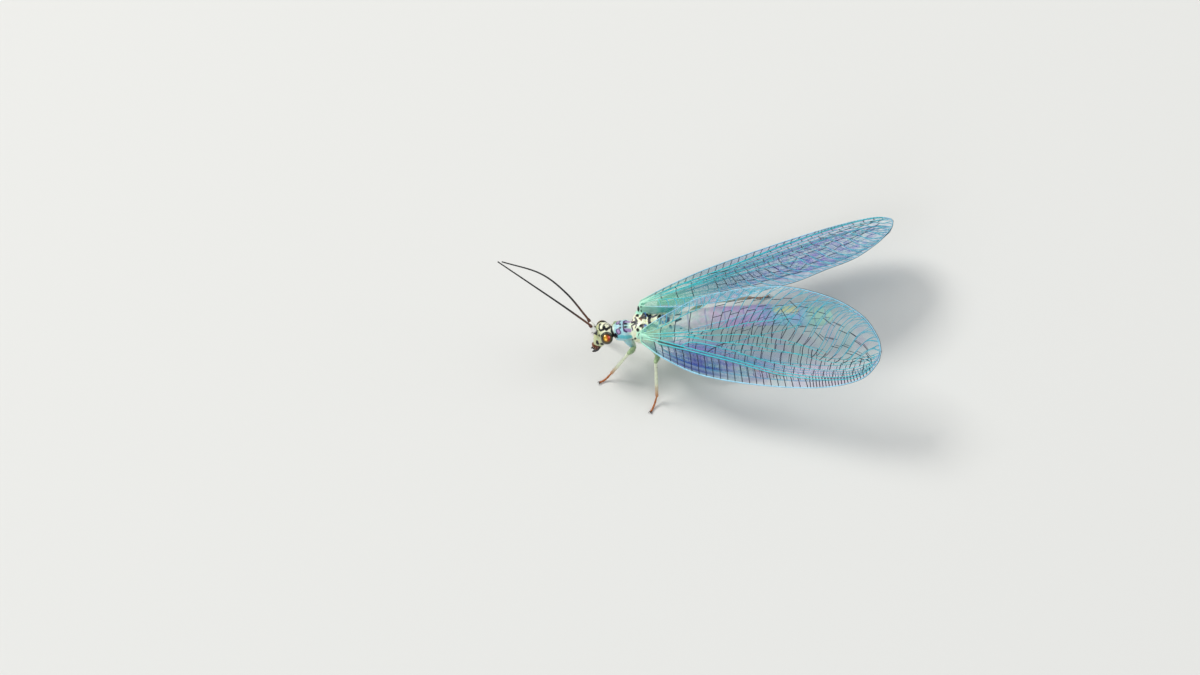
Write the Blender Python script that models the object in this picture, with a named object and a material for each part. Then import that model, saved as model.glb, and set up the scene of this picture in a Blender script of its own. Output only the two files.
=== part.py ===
"""Green lacewing (Chrysopa perla), life size, standing with its wings folded roof-like.

The animal faces -Y, its left side is +X, and it stands on z = 0.
Sizes below are in millimetres; finish() scales every mesh once to metres.
"""

import math

import bmesh
import bpy
from mathutils import Matrix, Vector

MM = 0.001

# Distances that the separate pieces keep to each other
BODY_GAP = 0.2
JOINT_GAP = 0.2
WING_GAP = 0.3

# Round limbs: no thinner than this except towards their tips
LEG_RADIUS = 0.25
FEELER_RADIUS = 0.25
FOOT_RADIUS = 0.24

# Body segments: (y, half width, half height, x, z) of each section, front to back
PROTHORAX = (
    (-1.56, 0.40, 0.34, 0.00, 2.46),
    (-1.42, 0.50, 0.41, 0.00, 2.45),
    (-1.18, 0.54, 0.45, 0.00, 2.43),
    (-0.98, 0.55, 0.47, 0.00, 2.41),
    (-0.88, 0.51, 0.44, 0.00, 2.40),
)
MESOTHORAX = (
    (-0.68, 0.55, 0.48, 0.00, 2.38),
    (-0.52, 0.68, 0.60, 0.00, 2.36),
    (-0.20, 0.80, 0.70, 0.00, 2.34),
    (0.12, 0.82, 0.72, 0.00, 2.34),
    (0.34, 0.74, 0.66, 0.00, 2.36),
    (0.42, 0.66, 0.60, 0.00, 2.37),
)
METATHORAX = (
    (0.62, 0.64, 0.57, 0.00, 2.38),
    (0.76, 0.72, 0.62, 0.00, 2.38),
    (1.02, 0.70, 0.60, 0.00, 2.40),
    (1.22, 0.58, 0.52, 0.00, 2.43),
    (1.28, 0.52, 0.48, 0.00, 2.44),
)
# Abdomen: ends and middles of its nine visible rings follow these sections
ABDOMEN = (
    (1.48, 0.42, 0.42, 0.00, 2.46),
    (2.20, 0.48, 0.48, 0.01, 2.52),
    (3.40, 0.52, 0.52, 0.04, 2.52),
    (4.80, 0.53, 0.53, 0.09, 2.34),
    (6.40, 0.53, 0.54, 0.13, 2.13),
    (7.80, 0.51, 0.53, 0.22, 1.82),
    (8.70, 0.45, 0.47, 0.29, 1.60),
    (9.15, 0.32, 0.34, 0.32, 1.49),
    (9.26, 0.18, 0.20, 0.33, 1.46),
)
ABDOMEN_RINGS = 9
RING_PINCH = 0.035
BODY_SIDES = 20

# Head: an ellipsoid with a short blunt face, turned a little to its left
HEAD_CENTRE = (0.0, -2.08, 2.46)
HEAD_HALF = (0.62, 0.44, 0.50)
HEAD_TURN = (-13.0, -23.0, 11.0)
EYE_RADIUS = 0.32
EYE_PLACE = (0.62, -0.02, 0.02)
FACE_LENGTH = 0.40
FACE_TOP = (0.0, -0.20, -0.22)
FACE_WAY = (0.0, -0.50, -0.866)
FACE_WIDTHS = (0.40, 0.36, 0.30)
NECK_CUT_Y = -1.74

# Feelers: socket in the head's own frame, then way points of the long whip
SCAPE_ROOT = (0.19, -0.50, 0.24)
SCAPE_LENGTH = 0.34
FEELER_LEFT = ((-0.14, -0.73, 1.27), (-0.53, -1.69, 2.22), (-1.13, -2.98, 3.66), (-1.64, -4.24, 5.22))
FEELER_RIGHT = ((-0.67, -0.79, 0.71), (-1.33, -1.50, 2.03), (-1.88, -2.53, 3.27), (-2.01, -4.17, 4.60))

# Legs: (coxa top, hip, knee, ankle, toe) as (outward, y, z); both sides share coxa top and hip
LEG_ROOTS = {
    "fore": ((0.30, -1.10, 2.02), (0.42, -0.98, 1.40)),
    "mid": ((0.46, -0.10, 1.72), (0.56, -0.04, 1.22)),
    "hind": ((0.44, 0.92, 1.80), (0.54, 1.04, 1.25)),
}
LEG_REACH = {
    "fore_left": ((1.33, -1.02, 2.35), (1.11, -2.23, 0.42), (1.33, -2.87, 0.17)),
    "mid_left": ((2.20, 0.50, 2.34), (2.82, 0.04, 0.42), (3.43, -0.34, 0.17)),
    "hind_left": ((1.80, 2.70, 1.02), (2.22, 5.45, 0.42), (2.36, 6.35, 0.17)),
    "fore_right": ((0.95, -1.75, 2.05), (1.25, -2.75, 0.42), (1.62, -3.12, 0.17)),
    "mid_right": ((1.78, 1.25, 1.62), (2.25, -0.15, 0.42), (2.62, -0.70, 0.17)),
    "hind_right": ((1.86, 2.60, 1.02), (2.18, 4.95, 0.42), (2.34, 5.75, 0.17)),
}

# Wings: hinge, then outward angle, rise and roof slope in degrees
WING_THICK = 0.46
VEIN_HIGH = 0.10
VEIN_WIDE = 0.17
LEFT_HINGE = (0.93, -0.10, 3.16)
LEFT_SET = (18.2, 9.0, 34.2)
RIGHT_HINGE = (-0.96, -0.10, 3.16)
RIGHT_SET = (10.8, 1.5, 36.0)
# Edges of the wings as (along, across) points from hinge to tip; across is negative in front
FORE_FRONT = ((0.0, -0.34), (1.4, -1.10), (3.5, -1.80), (6.8, -2.11), (10.0, -2.05), (12.1, -1.55), (13.0, -0.75), (13.22, -0.10))
FORE_REAR = ((0.0, 0.30), (1.6, 1.25), (3.7, 2.20), (7.4, 2.80), (10.2, 2.45), (12.1, 1.62), (13.0, 0.62), (13.22, -0.10))
HIND_FRONT = ((0.0, -0.62), (1.2, -1.15), (3.0, -1.55), (6.0, -1.80), (9.0, -1.72), (11.0, -1.28), (11.8, -0.60), (12.0, -0.05))
HIND_REAR = ((0.0, -0.10), (1.4, 0.35), (3.4, 0.95), (6.4, 1.80), (9.0, 2.15), (10.9, 1.50), (11.8, 0.52), (12.0, -0.05))
HIND_ALONG = 1.0
FORE_CAMBER = 0.15
RIGHT_DROOP = 0.40
WING_SECTIONS = 25
TIP_SHARE = 0.975
# Share of the chord at which each main vein runs, from hinge to tip
RADIUS_VEIN = (0.40, 0.26, 0.145, 0.105, 0.10)
SECTOR_VEIN = (0.52, 0.39, 0.285, 0.235, 0.24)
MEDIA_VEIN = (0.62, 0.50, 0.430, 0.390, 0.42)
CUBITUS_VEIN = (0.72, 0.66, 0.640, 0.610, 0.62)

COLOURS = {
    "cream": ((0.72, 0.80, 0.62, 1.0), 0.45),
    "ice": ((0.60, 0.78, 0.78, 1.0), 0.40),
    "lilac": ((0.62, 0.56, 0.74, 1.0), 0.40),
    "membrane": ((0.30, 0.62, 0.66, 1.0), 0.25),
    "eye": ((0.20, 0.11, 0.03, 1.0), 0.15),
    "horn": ((0.08, 0.05, 0.04, 1.0), 0.50),
    "leg": ((0.55, 0.66, 0.52, 1.0), 0.50),
    "tarsus": ((0.36, 0.22, 0.12, 1.0), 0.55),
}


def clear_scene():
    for obj in list(bpy.data.objects):
        bpy.data.objects.remove(obj)


def material(name):
    """One Principled material for each named colour."""
    found = bpy.data.materials.get(name)
    if found:
        return found
    colour, rough = COLOURS[name]
    made = bpy.data.materials.new(name)
    made.use_nodes = True
    shader = made.node_tree.nodes["Principled BSDF"]
    shader.inputs["Base Color"].default_value = colour
    shader.inputs["Roughness"].default_value = rough
    shader.inputs["Metallic"].default_value = 0.0
    return made


def spline(points, share):
    """A point of the Catmull-Rom curve through points; share runs from 0 to 1."""
    points = [Vector(p) for p in points]
    last = len(points) - 1
    place = min(max(share, 0.0), 1.0) * last
    i = min(int(place), last - 1)
    u = place - i
    a = points[i - 1] if i > 0 else 2 * points[0] - points[1]
    b, c = points[i], points[i + 1]
    d = points[i + 2] if i + 2 <= last else 2 * points[last] - points[last - 1]
    return 0.5 * (2 * b + (c - a) * u + (2 * a - 5 * b + 4 * c - d) * u**2 + (3 * b - a - 3 * c + d) * u**3)


def new_object(name, bm):
    bmesh.ops.recalc_face_normals(bm, faces=bm.faces)
    mesh = bpy.data.meshes.new(name)
    bm.to_mesh(mesh)
    bm.free()
    obj = bpy.data.objects.new(name, mesh)
    parts.objects.link(obj)
    return obj


def largest_body(bm):
    """Removes every closed surface but the largest."""
    left = set(bm.verts)
    islands = []
    while left:
        stack = [left.pop()]
        island = set(stack)
        while stack:
            for edge in stack.pop().link_edges:
                for vert in edge.verts:
                    if vert in left:
                        left.discard(vert)
                        island.add(vert)
                        stack.append(vert)
        islands.append(island)
    islands.sort(key=len, reverse=True)
    for island in islands[1:]:
        bmesh.ops.delete(bm, geom=list(island), context="VERTS")


def boolean(target, tools, operation):
    """Applies one Boolean of all tools, held in a collection, and removes them."""
    group = bpy.data.collections.new("tools")
    bpy.context.scene.collection.children.link(group)
    for tool in tools:
        parts.objects.unlink(tool)
        group.objects.link(tool)
    step = target.modifiers.new("boolean", "BOOLEAN")
    step.operation = operation
    step.operand_type = "COLLECTION"
    step.collection = group
    step.solver = "EXACT"
    bpy.context.view_layer.update()
    shaped = bpy.data.meshes.new_from_object(target.evaluated_get(bpy.context.evaluated_depsgraph_get()))
    target.modifiers.clear()
    target.data = shaped
    for tool in tools:
        bpy.data.objects.remove(tool)
    bpy.data.collections.remove(group)
    bm = bmesh.new()
    bm.from_mesh(target.data)
    bmesh.ops.remove_doubles(bm, verts=bm.verts, dist=1e-5)
    bmesh.ops.dissolve_degenerate(bm, edges=bm.edges, dist=1e-5)
    largest_body(bm)
    bmesh.ops.triangulate(bm, faces=bm.faces)
    bm.to_mesh(target.data)
    bm.free()
    return target


def cut(obj, point, normal):
    """Keeps what lies behind the plane and closes the cut with a flat face."""
    bm = bmesh.new()
    bm.from_mesh(obj.data)
    geometry = bm.verts[:] + bm.edges[:] + bm.faces[:]
    found = bmesh.ops.bisect_plane(
        bm, geom=geometry, plane_co=point, plane_no=normal, clear_outer=True, dist=1e-6
    )
    edges = [e for e in found["geom_cut"] if isinstance(e, bmesh.types.BMEdge)]
    bmesh.ops.contextual_create(bm, geom=edges)
    bmesh.ops.recalc_face_normals(bm, faces=bm.faces)
    bm.to_mesh(obj.data)
    bm.free()
    return obj


def tube(name, points, radii, detail=2):
    """A round rod along points, its radius given at each point."""
    curve = bpy.data.curves.new(name, "CURVE")
    curve.dimensions = "3D"
    curve.bevel_depth = 1.0
    curve.bevel_resolution = detail
    curve.use_fill_caps = True
    line = curve.splines.new("POLY")
    line.points.add(len(points) - 1)
    for spot, place, radius in zip(line.points, points, radii):
        spot.co = (*place, 1.0)
        spot.radius = radius
    holder = bpy.data.objects.new(name, curve)
    bpy.context.scene.collection.objects.link(holder)
    bpy.context.view_layer.update()
    mesh = bpy.data.meshes.new_from_object(holder.evaluated_get(bpy.context.evaluated_depsgraph_get()))
    bpy.data.objects.remove(holder)
    bm = bmesh.new()
    bm.from_mesh(mesh)
    bmesh.ops.remove_doubles(bm, verts=bm.verts, dist=1e-4)
    return new_object(name, bm)


def ellipsoid(name, centre, half, turn, columns=24, rows=14):
    bm = bmesh.new()
    bmesh.ops.create_uvsphere(bm, u_segments=columns, v_segments=rows, radius=1.0)
    place = Matrix.Translation(centre) @ turn @ Matrix.Diagonal((*half, 1.0))
    bmesh.ops.transform(bm, matrix=place, verts=bm.verts)
    return new_object(name, bm)


def loft(name, rings):
    """Joins closed rings of equal count and closes both ends."""
    bm = bmesh.new()
    rows = [[bm.verts.new(p) for p in ring] for ring in rings]
    for before, after in zip(rows, rows[1:]):
        for i in range(len(before)):
            j = (i + 1) % len(before)
            bm.faces.new((before[i], before[j], after[j], after[i]))
    bm.faces.new(rows[0])
    bm.faces.new(rows[-1])
    return new_object(name, bm)


def body_ring(section, pinch=0.0):
    y, wide, high, x, z = section
    ring = []
    for i in range(BODY_SIDES):
        a = 2 * math.pi * i / BODY_SIDES
        ring.append(Vector((x + (wide - pinch) * math.cos(a), y, z + (high - pinch) * math.sin(a))))
    return ring


def body_segment(name, sections, look):
    rings = [body_ring(spline(sections, i / 8)) for i in range(9)]
    obj = loft(name, rings)
    return finish(obj, look)


def abdomen():
    """Nine rings, each a little fuller in its middle than at its seams."""
    steps = ABDOMEN_RINGS * 3
    rings = []
    for i in range(steps + 1):
        seam = i % 3 == 0 and 0 < i < steps
        rings.append(body_ring(spline(ABDOMEN, i / steps), RING_PINCH if seam else 0.0))
    return finish(loft("abdomen", rings), "lilac")


def finish(obj, look):
    """Splits the faces into triangles, shades them smooth, gives the material and scales to metres."""
    bm = bmesh.new()
    bm.from_mesh(obj.data)
    bmesh.ops.triangulate(bm, faces=bm.faces)
    bm.to_mesh(obj.data)
    bm.free()
    obj.data.transform(Matrix.Scale(MM, 4))
    obj.data.materials.clear()
    obj.data.materials.append(material(look))
    obj.data.shade_smooth()
    obj.data.set_sharp_from_angle(angle=math.radians(40))
    obj.parent = base
    return obj


def head_turn():
    pitch, roll, yaw = (math.radians(a) for a in HEAD_TURN)
    turn = Matrix.Rotation(yaw, 4, "Z") @ Matrix.Rotation(pitch, 4, "X") @ Matrix.Rotation(roll, 4, "Y")
    return turn


def on_head(point):
    return Vector(HEAD_CENTRE) + head_turn().to_3x3() @ Vector(point)


def head():
    turn = head_turn()
    skull = ellipsoid("head", HEAD_CENTRE, HEAD_HALF, turn)
    ends = [on_head(Vector(FACE_TOP) + Vector(FACE_WAY) * FACE_LENGTH * i / 2) for i in range(3)]
    face = tube("face", ends, FACE_WIDTHS, 4)
    boolean(skull, [face], "UNION")
    sockets = []
    for side in (-1, 1):
        centre = on_head((side * EYE_PLACE[0], EYE_PLACE[1], EYE_PLACE[2]))
        grown = EYE_RADIUS + BODY_GAP / 2
        sockets.append(ellipsoid("socket", centre, (grown,) * 3, turn))
        word = "left" if side > 0 else "right"
        finish(ellipsoid("eye_" + word, centre, (EYE_RADIUS,) * 3, turn, 20, 12), "eye")
    boolean(skull, sockets, "DIFFERENCE")
    cut(skull, (0.0, NECK_CUT_Y, 0.0), (0.0, 1.0, 0.0))
    finish(skull, "cream")


def mouthparts():
    """Upper lip and jaws as one blunt wedge below the face, with the palps rooted in it."""
    way = Vector(FACE_WAY)
    start = Vector(FACE_TOP) + way * (FACE_LENGTH + BODY_GAP * 0.6)
    wedge = tube("mouthparts", [on_head(start), on_head(start + way * 0.16), on_head(start + way * 0.34)],
                 (0.29, 0.27, 0.16), 4)
    palps = []
    for side in (-1, 1):
        root = start + Vector((side * 0.12, 0.06, 0.0)) + way * 0.12
        bend = root + Vector((side * 0.20, -0.02, -0.26))
        tip = bend + Vector((side * 0.02, -0.16, -0.16))
        palps.append(tube("palp", [on_head(root), on_head(bend), on_head(tip)], (0.11, 0.10, 0.06)))
    finish(boolean(wedge, palps, "UNION"), "horn")


def feeler(word, side, way_points):
    """Thick first joint and the long whip of one feeler."""
    root = on_head((side * SCAPE_ROOT[0], SCAPE_ROOT[1], SCAPE_ROOT[2]))
    first = Vector(HEAD_CENTRE) + Vector(way_points[0])
    way = (first - root).normalized()
    scape_end = root + way * SCAPE_LENGTH
    finish(tube("scape_" + word, [root, root + way * SCAPE_LENGTH * 0.5, scape_end], (0.20, 0.23, 0.20)), "cream")
    line = [scape_end + way * JOINT_GAP] + [Vector(HEAD_CENTRE) + Vector(p) for p in way_points[1:]]
    count = 14
    points = [spline(line, i / count) for i in range(count + 1)]
    radii = [FEELER_RADIUS * (1.0 if i < count - 3 else 1.0 - 0.22 * (i - count + 3)) for i in range(count + 1)]
    finish(tube("feeler_" + word, points, radii, 1), "horn")


def mitre(before, corner, after):
    """Normal of the plane that halves the bend at corner."""
    return ((corner - before).normalized() + (after - corner).normalized()).normalized()


def leg(pair, word, side):
    """Coxa, femur, tibia and tarsus, cut to the same plane at each bend."""
    places = LEG_ROOTS[pair] + LEG_REACH[pair + "_" + word]
    top, hip, knee, ankle, toe = [Vector((side * p[0], p[1], p[2])) for p in places]
    name = "leg_" + pair + "_" + word + "_"
    r = LEG_RADIUS

    def piece(label, start, end, profile, look, before, after):
        """A rod from start to end; before and after are the neighbours that its ends are cut to."""
        way = (end - start).normalized()
        first = start - way * r * 1.2 if before else start
        last = end + way * r * 1.2 if after else end
        count = len(profile) - 1
        points = [first.lerp(last, i / count) for i in range(count + 1)]
        rod = tube(name + label, points, profile)
        if before:
            plane = mitre(before, start, end)
            cut(rod, start + plane * JOINT_GAP / 2, -plane)
        if after:
            plane = mitre(start, end, after)
            cut(rod, end - plane * JOINT_GAP / 2, plane)
        if label == "tarsus":
            cut(rod, (0.0, 0.0, 0.0), (0.0, 0.0, -1.0))
        return finish(rod, look)

    piece("coxa", top, hip, (r * 0.9, r * 1.15, r), "cream", None, knee)
    piece("femur", hip, knee, (r * 0.9, r * 1.05, r * 1.05, r, r * 0.85), "leg", top, ankle)
    piece("tibia", knee, ankle, (r * 0.85, r, r, r, r * 0.9), "leg", hip, toe)
    piece("tarsus", ankle, toe, (r * 0.9, r, FOOT_RADIUS, FOOT_RADIUS), "tarsus", knee, None)


def wing_axes(side, angles):
    """Along, across (towards the body) and outward directions of one wing."""
    out, rise, roof = (math.radians(a) for a in angles)
    along = Vector((side * math.sin(out) * math.cos(rise), math.cos(out) * math.cos(rise), math.sin(rise)))
    level = along.cross(Vector((0.0, 0.0, 1.0))).normalized()
    if level.x * side > 0:
        level = -level
    up = level.cross(along)
    if up.z < 0:
        up = -up
    across = (math.cos(roof) * level + math.sin(roof) * up).normalized()
    outward = along.cross(across)
    if outward.z < 0:
        outward = -outward
    return along, across, outward


def chord_stations(share, chord):
    """(place, height) across the wing: a raised line at each main vein, flat between."""
    veins = [spline([(v, 0.0, 0.0) for v in table], share).x
             for table in (RADIUS_VEIN, SECTOR_VEIN, MEDIA_VEIN, CUBITUS_VEIN)]
    half = min(VEIN_WIDE / chord, 0.045)
    high = VEIN_HIGH * min(1.0, share / 0.1, (1.0 - share) / 0.1)
    stations = [(0.0, 0.0), (veins[0] * 0.42, 0.0)]
    for i, vein in enumerate(veins):
        stations += [(vein - half, 0.0), (vein, high), (vein + half, 0.0)]
        following = veins[i + 1] if i < 3 else None
        if following:
            stations.append(((vein + following) / 2, 0.0))
    rest = 1.0 - veins[3] - half
    stations += [(veins[3] + half + rest * 0.5, 0.0), (1.0, 0.0)]
    return stations


def blade(name, hinge, axes, front, rear, droop):
    """The wing as one plate with two like faces, thinner at its rim, its main veins raised on top."""
    along, across, outward = axes
    bm = bmesh.new()
    top, bottom = [], []
    for i in range(WING_SECTIONS + 1):
        share = (1.0 - (1.0 - i / WING_SECTIONS) ** 1.35) * TIP_SHARE
        lead = spline([(*p, 0.0) for p in front], share)
        trail = spline([(*p, 0.0) for p in rear], share)
        chord = max((trail - lead).length, 0.05)
        upper, lower = [], []
        for v, ridge in chord_stations(share, chord):
            flat = lead.lerp(trail, v)
            bend = FORE_CAMBER * 4 * v * (1 - v) * min(1.0, chord / 3)
            bend -= droop * max(0.0, v - 0.55) ** 2 / 0.2 * min(1.0, chord / 4)
            rim = 0.72 if v in (0.0, 1.0) else 1.0
            middle = hinge + along * flat.x + across * flat.y + outward * bend
            upper.append(bm.verts.new(middle + outward * (WING_THICK / 2 * rim + ridge)))
            lower.append(bm.verts.new(middle - outward * WING_THICK / 2 * rim))
        top.append(upper)
        bottom.append(lower)
    wide = len(top[0])
    for i in range(WING_SECTIONS):
        for j in range(wide - 1):
            for rows in (top, bottom):
                a, b, c, d = rows[i][j], rows[i][j + 1], rows[i + 1][j + 1], rows[i + 1][j]
                bm.faces.new((a, b, c))
                bm.faces.new((a, c, d))
        for j in (0, wide - 1):
            bm.faces.new((top[i][j], top[i + 1][j], bottom[i + 1][j], bottom[i][j]))
    for i in (0, WING_SECTIONS):
        bm.faces.new(top[i] + bottom[i][::-1])
    return new_object(name, bm)


def wing(name, side, hinge, axes, edges, droop, root, depth):
    """One wing: its plate, and the short peg that turns from the thorax into it."""
    along, across, outward = axes
    plate = blade(name, hinge, axes, *edges, droop)
    into = hinge + along * 0.55 + across * ((edges[0][0][1] + edges[1][0][1]) / 2)
    peg = tube("peg", [root, root.lerp(into, 0.5) - along * 0.05, into], (0.22, 0.24, 0.18 if depth else 0.18))
    return finish(boolean(plate, [peg], "UNION"), "membrane")


def wings(word, side, hinge_at, angles, droop):
    axes = wing_axes(side, angles)
    along, across, outward = axes
    hinge = Vector(hinge_at)
    body = Vector((side * (0.70 + WING_GAP), hinge.y * 0.4 - 0.12, 2.72))
    wing("forewing_" + word, side, hinge, axes, (FORE_FRONT, FORE_REAR), droop, body, 0)
    below = WING_THICK + WING_GAP + VEIN_HIGH
    hind_hinge = hinge + along * HIND_ALONG - outward * below
    body = Vector((side * (0.62 + WING_GAP), 0.86, 2.50))
    wing("hindwing_" + word, side, hind_hinge, axes, (HIND_FRONT, HIND_REAR), droop, body, 1)


def centre_on_base():
    """Sets the middle of the whole animal's base box at the origin; the feet are already at z = 0."""
    places = [v.co for obj in parts.objects if obj.type == "MESH" for v in obj.data.vertices]
    middle_x = (min(p.x for p in places) + max(p.x for p in places)) / 2
    middle_y = (min(p.y for p in places) + max(p.y for p in places)) / 2
    base.location = (-middle_x, -middle_y, 0.0)


clear_scene()
parts = bpy.data.collections.new("green_lacewing")
bpy.context.scene.collection.children.link(parts)
base = bpy.data.objects.new("lacewing_base", None)
parts.objects.link(base)

body_segment("prothorax", PROTHORAX, "ice")
body_segment("mesothorax", MESOTHORAX, "cream")
body_segment("metathorax", METATHORAX, "cream")
abdomen()
head()
mouthparts()
feeler("left", 1, FEELER_LEFT)
feeler("right", -1, FEELER_RIGHT)
for leg_pair in LEG_ROOTS:
    leg(leg_pair, "left", 1)
    leg(leg_pair, "right", -1)
wings("left", 1, LEFT_HINGE, LEFT_SET, 0.0)
wings("right", -1, RIGHT_HINGE, RIGHT_SET, RIGHT_DROOP)
centre_on_base()
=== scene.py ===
import math

import bpy
import numpy as np
from mathutils import Matrix, Vector, noise
from mathutils.bvhtree import BVHTree


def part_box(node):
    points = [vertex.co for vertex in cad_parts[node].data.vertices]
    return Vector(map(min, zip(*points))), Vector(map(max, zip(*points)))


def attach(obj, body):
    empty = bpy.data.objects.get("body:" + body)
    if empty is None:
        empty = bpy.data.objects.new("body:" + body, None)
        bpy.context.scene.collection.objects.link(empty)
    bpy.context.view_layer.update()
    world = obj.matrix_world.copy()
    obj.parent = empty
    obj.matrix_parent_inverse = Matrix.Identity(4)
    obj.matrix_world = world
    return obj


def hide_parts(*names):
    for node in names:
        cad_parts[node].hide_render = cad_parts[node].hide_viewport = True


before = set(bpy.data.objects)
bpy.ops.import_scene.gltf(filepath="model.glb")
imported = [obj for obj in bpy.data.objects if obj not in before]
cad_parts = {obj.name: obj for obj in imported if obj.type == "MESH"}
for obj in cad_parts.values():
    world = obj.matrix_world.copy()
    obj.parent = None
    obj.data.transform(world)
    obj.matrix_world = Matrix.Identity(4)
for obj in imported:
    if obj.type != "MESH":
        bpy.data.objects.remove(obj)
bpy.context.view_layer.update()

# Everything is shaped in millimetres, with the animal facing -Y, and set into the frame at the end
mm = 0.001
thoraxFront = 0.68
thoraxLow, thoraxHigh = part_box("mesothorax")
home = Vector(((thoraxLow.x + thoraxHigh.x) / 2, thoraxLow.y + thoraxFront * mm, 0.0))
sides = {"left": 1, "right": -1}
upright = Vector((0.0, 0.0, 1.0))

view = {
    "toCamera": (0.536, 0.174, 0.826),
    "right": (0.023, 0.975, -0.220),
    "aim": (0.0, 0.0, 2.3),  # this point of the body falls on the picture place below
    "aimPlace": (646.5, 328.5),
    "placesPerMm": 20.1,
    "places": (1200, 675),
    "distance": 500.0,
    "sensor": 36.0,
}
toCamera = Vector(view["toCamera"]).normalized()
pictureRight = (Vector(view["right"]) - toCamera * Vector(view["right"]).dot(toCamera)).normalized()
pictureUp = toCamera.cross(pictureRight)

tones = {
    "cream": "f2f3d4",
    "face": "cdd3a2",
    "ice": "a8d6e2",
    "white": "f3f1ea",
    "mint": "b2ead0",
    "leaf": "84ceb0",
    "paleMint": "b4dcc4",
    "bronzeSheen": "4c3f16",
    "teal": "16808c",
    "turquoise": "36c3ca",
    "paleVein": "45b0c6",
    "costa": "98d2ea",
    "black": "040406",
    "ink": "0b0e26",
    "deepBlue": "2335a0",
    "blue": "5580c6",
    "steel": "3b6ea6",
    "purple": "3a1c55",
    "plum": "a48cba",
    "lavenderSheen": "dcb4e2",
    "pinkSheen": "efcfe4",
    "violet": "7f6ccb",
    "lilac": "b2a8e4",
    "seaBlue": "62c4d0",
    "paleBlueSheen": "a0c8e8",
    "straw": "eee79a",
    "amber": "a8581a",
    "rust": "6b3313",
    "orange": "bd7c48",
    "gold": "f0b428",
    "copper": "c8371a",
    "bone": "dfe6c8",
    "olive": "9db586",
    "belly": "6f938c",
}


def tone(name):
    code = tones[name]
    parts = [int(code[i:i + 2], 16) / 255 for i in (0, 2, 4)]
    return np.array([p / 12.92 if p <= 0.04045 else ((p + 0.055) / 1.055) ** 2.4 for p in parts])


def mix(first, second, share):
    # the second colour where share is 1
    share = share[:, None]
    return first * (1 - share) + second * share


def rise(value, start, span):
    return np.clip((value - start) / span, 0, 1)


def fade(value, end, span):
    return np.clip((end - value) / span, 0, 1)


def hump(value, middle, width):
    return np.exp(-((value - middle) / width) ** 2)


def curvePoint(points, share):
    # smooth curve through the points, share 0 to 1
    last = len(points) - 1
    place = min(max(share, 0.0), 1.0) * last
    i = min(int(place), last - 1)
    u = place - i
    b, c = points[i], points[i + 1]
    a = points[i - 1] if i > 0 else 2 * b - c
    d = points[i + 2] if i + 2 <= last else 2 * c - b
    return 0.5 * (2 * b + (c - a) * u + (2 * a - 5 * b + 4 * c - d) * u**2 + (3 * b - a - 3 * c + d) * u**3)


def smoothRow(points, count):
    rows = [np.array(p, float) for p in points]
    return np.array([curvePoint(rows, i / (count - 1)) for i in range(count)])


def unitRows(rows):
    return rows / np.maximum(np.linalg.norm(rows, axis=1), 1e-9)[:, None]


def takeOnly(obj):
    bpy.ops.object.select_all(action="DESELECT")
    obj.select_set(True)
    bpy.context.view_layer.objects.active = obj


def added(operator, name, **values):
    # the new object of one of the add operators
    bpy.ops.object.select_all(action="DESELECT")
    operator(**values)
    obj = bpy.context.object
    obj.name = name
    return obj


def modify(obj, kind, **values):
    takeOnly(obj)
    bpy.ops.object.modifier_add(type=kind)
    step = obj.modifiers[-1]
    for name, value in values.items():
        setattr(step, name, value)
    bpy.ops.object.modifier_apply(modifier=step.name)


def pointsOf(obj, value="co"):
    flat = np.empty(len(obj.data.vertices) * 3)
    obj.data.vertices.foreach_get(value, flat)
    return flat.reshape(-1, 3)


def setPoints(obj, points):
    obj.data.vertices.foreach_set("co", np.ascontiguousarray(points).ravel())
    obj.data.update()


def paint(obj, colours):
    # one colour, or one for each vertex, kept in the attribute that the materials read
    colours = np.asarray(colours, float)
    if colours.ndim == 1:
        colours = np.tile(colours, (len(obj.data.vertices), 1))
    if colours.shape[1] == 3:
        colours = np.hstack([colours, np.ones((len(colours), 1))])
    layer = obj.data.attributes.get("tint") or obj.data.attributes.new("tint", "FLOAT_COLOR", "POINT")
    layer.data.foreach_set("color", colours.ravel())
    return obj


def cleanUp(obj, merge=0.0005):
    # doubles merged first, then normals turned outwards
    takeOnly(obj)
    bpy.ops.object.mode_set(mode="EDIT")
    bpy.ops.mesh.select_all(action="SELECT")
    bpy.ops.mesh.remove_doubles(threshold=merge)
    bpy.ops.mesh.normals_make_consistent(inside=False)
    bpy.ops.object.mode_set(mode="OBJECT")
    return obj


def rods(name, lines, roundness=1):
    # round rods along lines of (points, radii), all in one mesh
    obj = added(bpy.ops.curve.primitive_nurbs_path_add, name)
    curve = obj.data
    curve.splines.clear()
    curve.dimensions = "3D"
    curve.bevel_depth = 1.0
    curve.bevel_resolution = roundness
    curve.use_fill_caps = True
    for points, radii in lines:
        line = curve.splines.new("POLY")
        line.points.add(len(points) - 1)
        flat = np.hstack([np.asarray(points, float), np.ones((len(points), 1))])
        line.points.foreach_set("co", flat.ravel())
        line.points.foreach_set("radius", np.broadcast_to(np.asarray(radii, float), (len(points),)).copy())
    takeOnly(obj)
    bpy.ops.object.convert(target="MESH")
    return bpy.context.object


def limb(name, points, radii, roundness=3):
    # one rod with a dome beyond each end
    points = [Vector(p) for p in points]
    radii = list(radii)
    start = (points[0] - points[1]).normalized()
    end = (points[-1] - points[-2]).normalized()
    domes = [math.radians(degrees) for degrees in (88, 62, 34)]
    first = [points[0] + start * radii[0] * math.sin(a) for a in domes]
    last = [points[-1] + end * radii[-1] * math.sin(a) for a in domes[::-1]]
    firstRadii = [radii[0] * math.cos(a) for a in domes]
    lastRadii = [radii[-1] * math.cos(a) for a in domes[::-1]]
    line = [tuple(p) for p in first + points + last]
    return rods(name, [(line, firstRadii + radii + lastRadii)], roundness)


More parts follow.
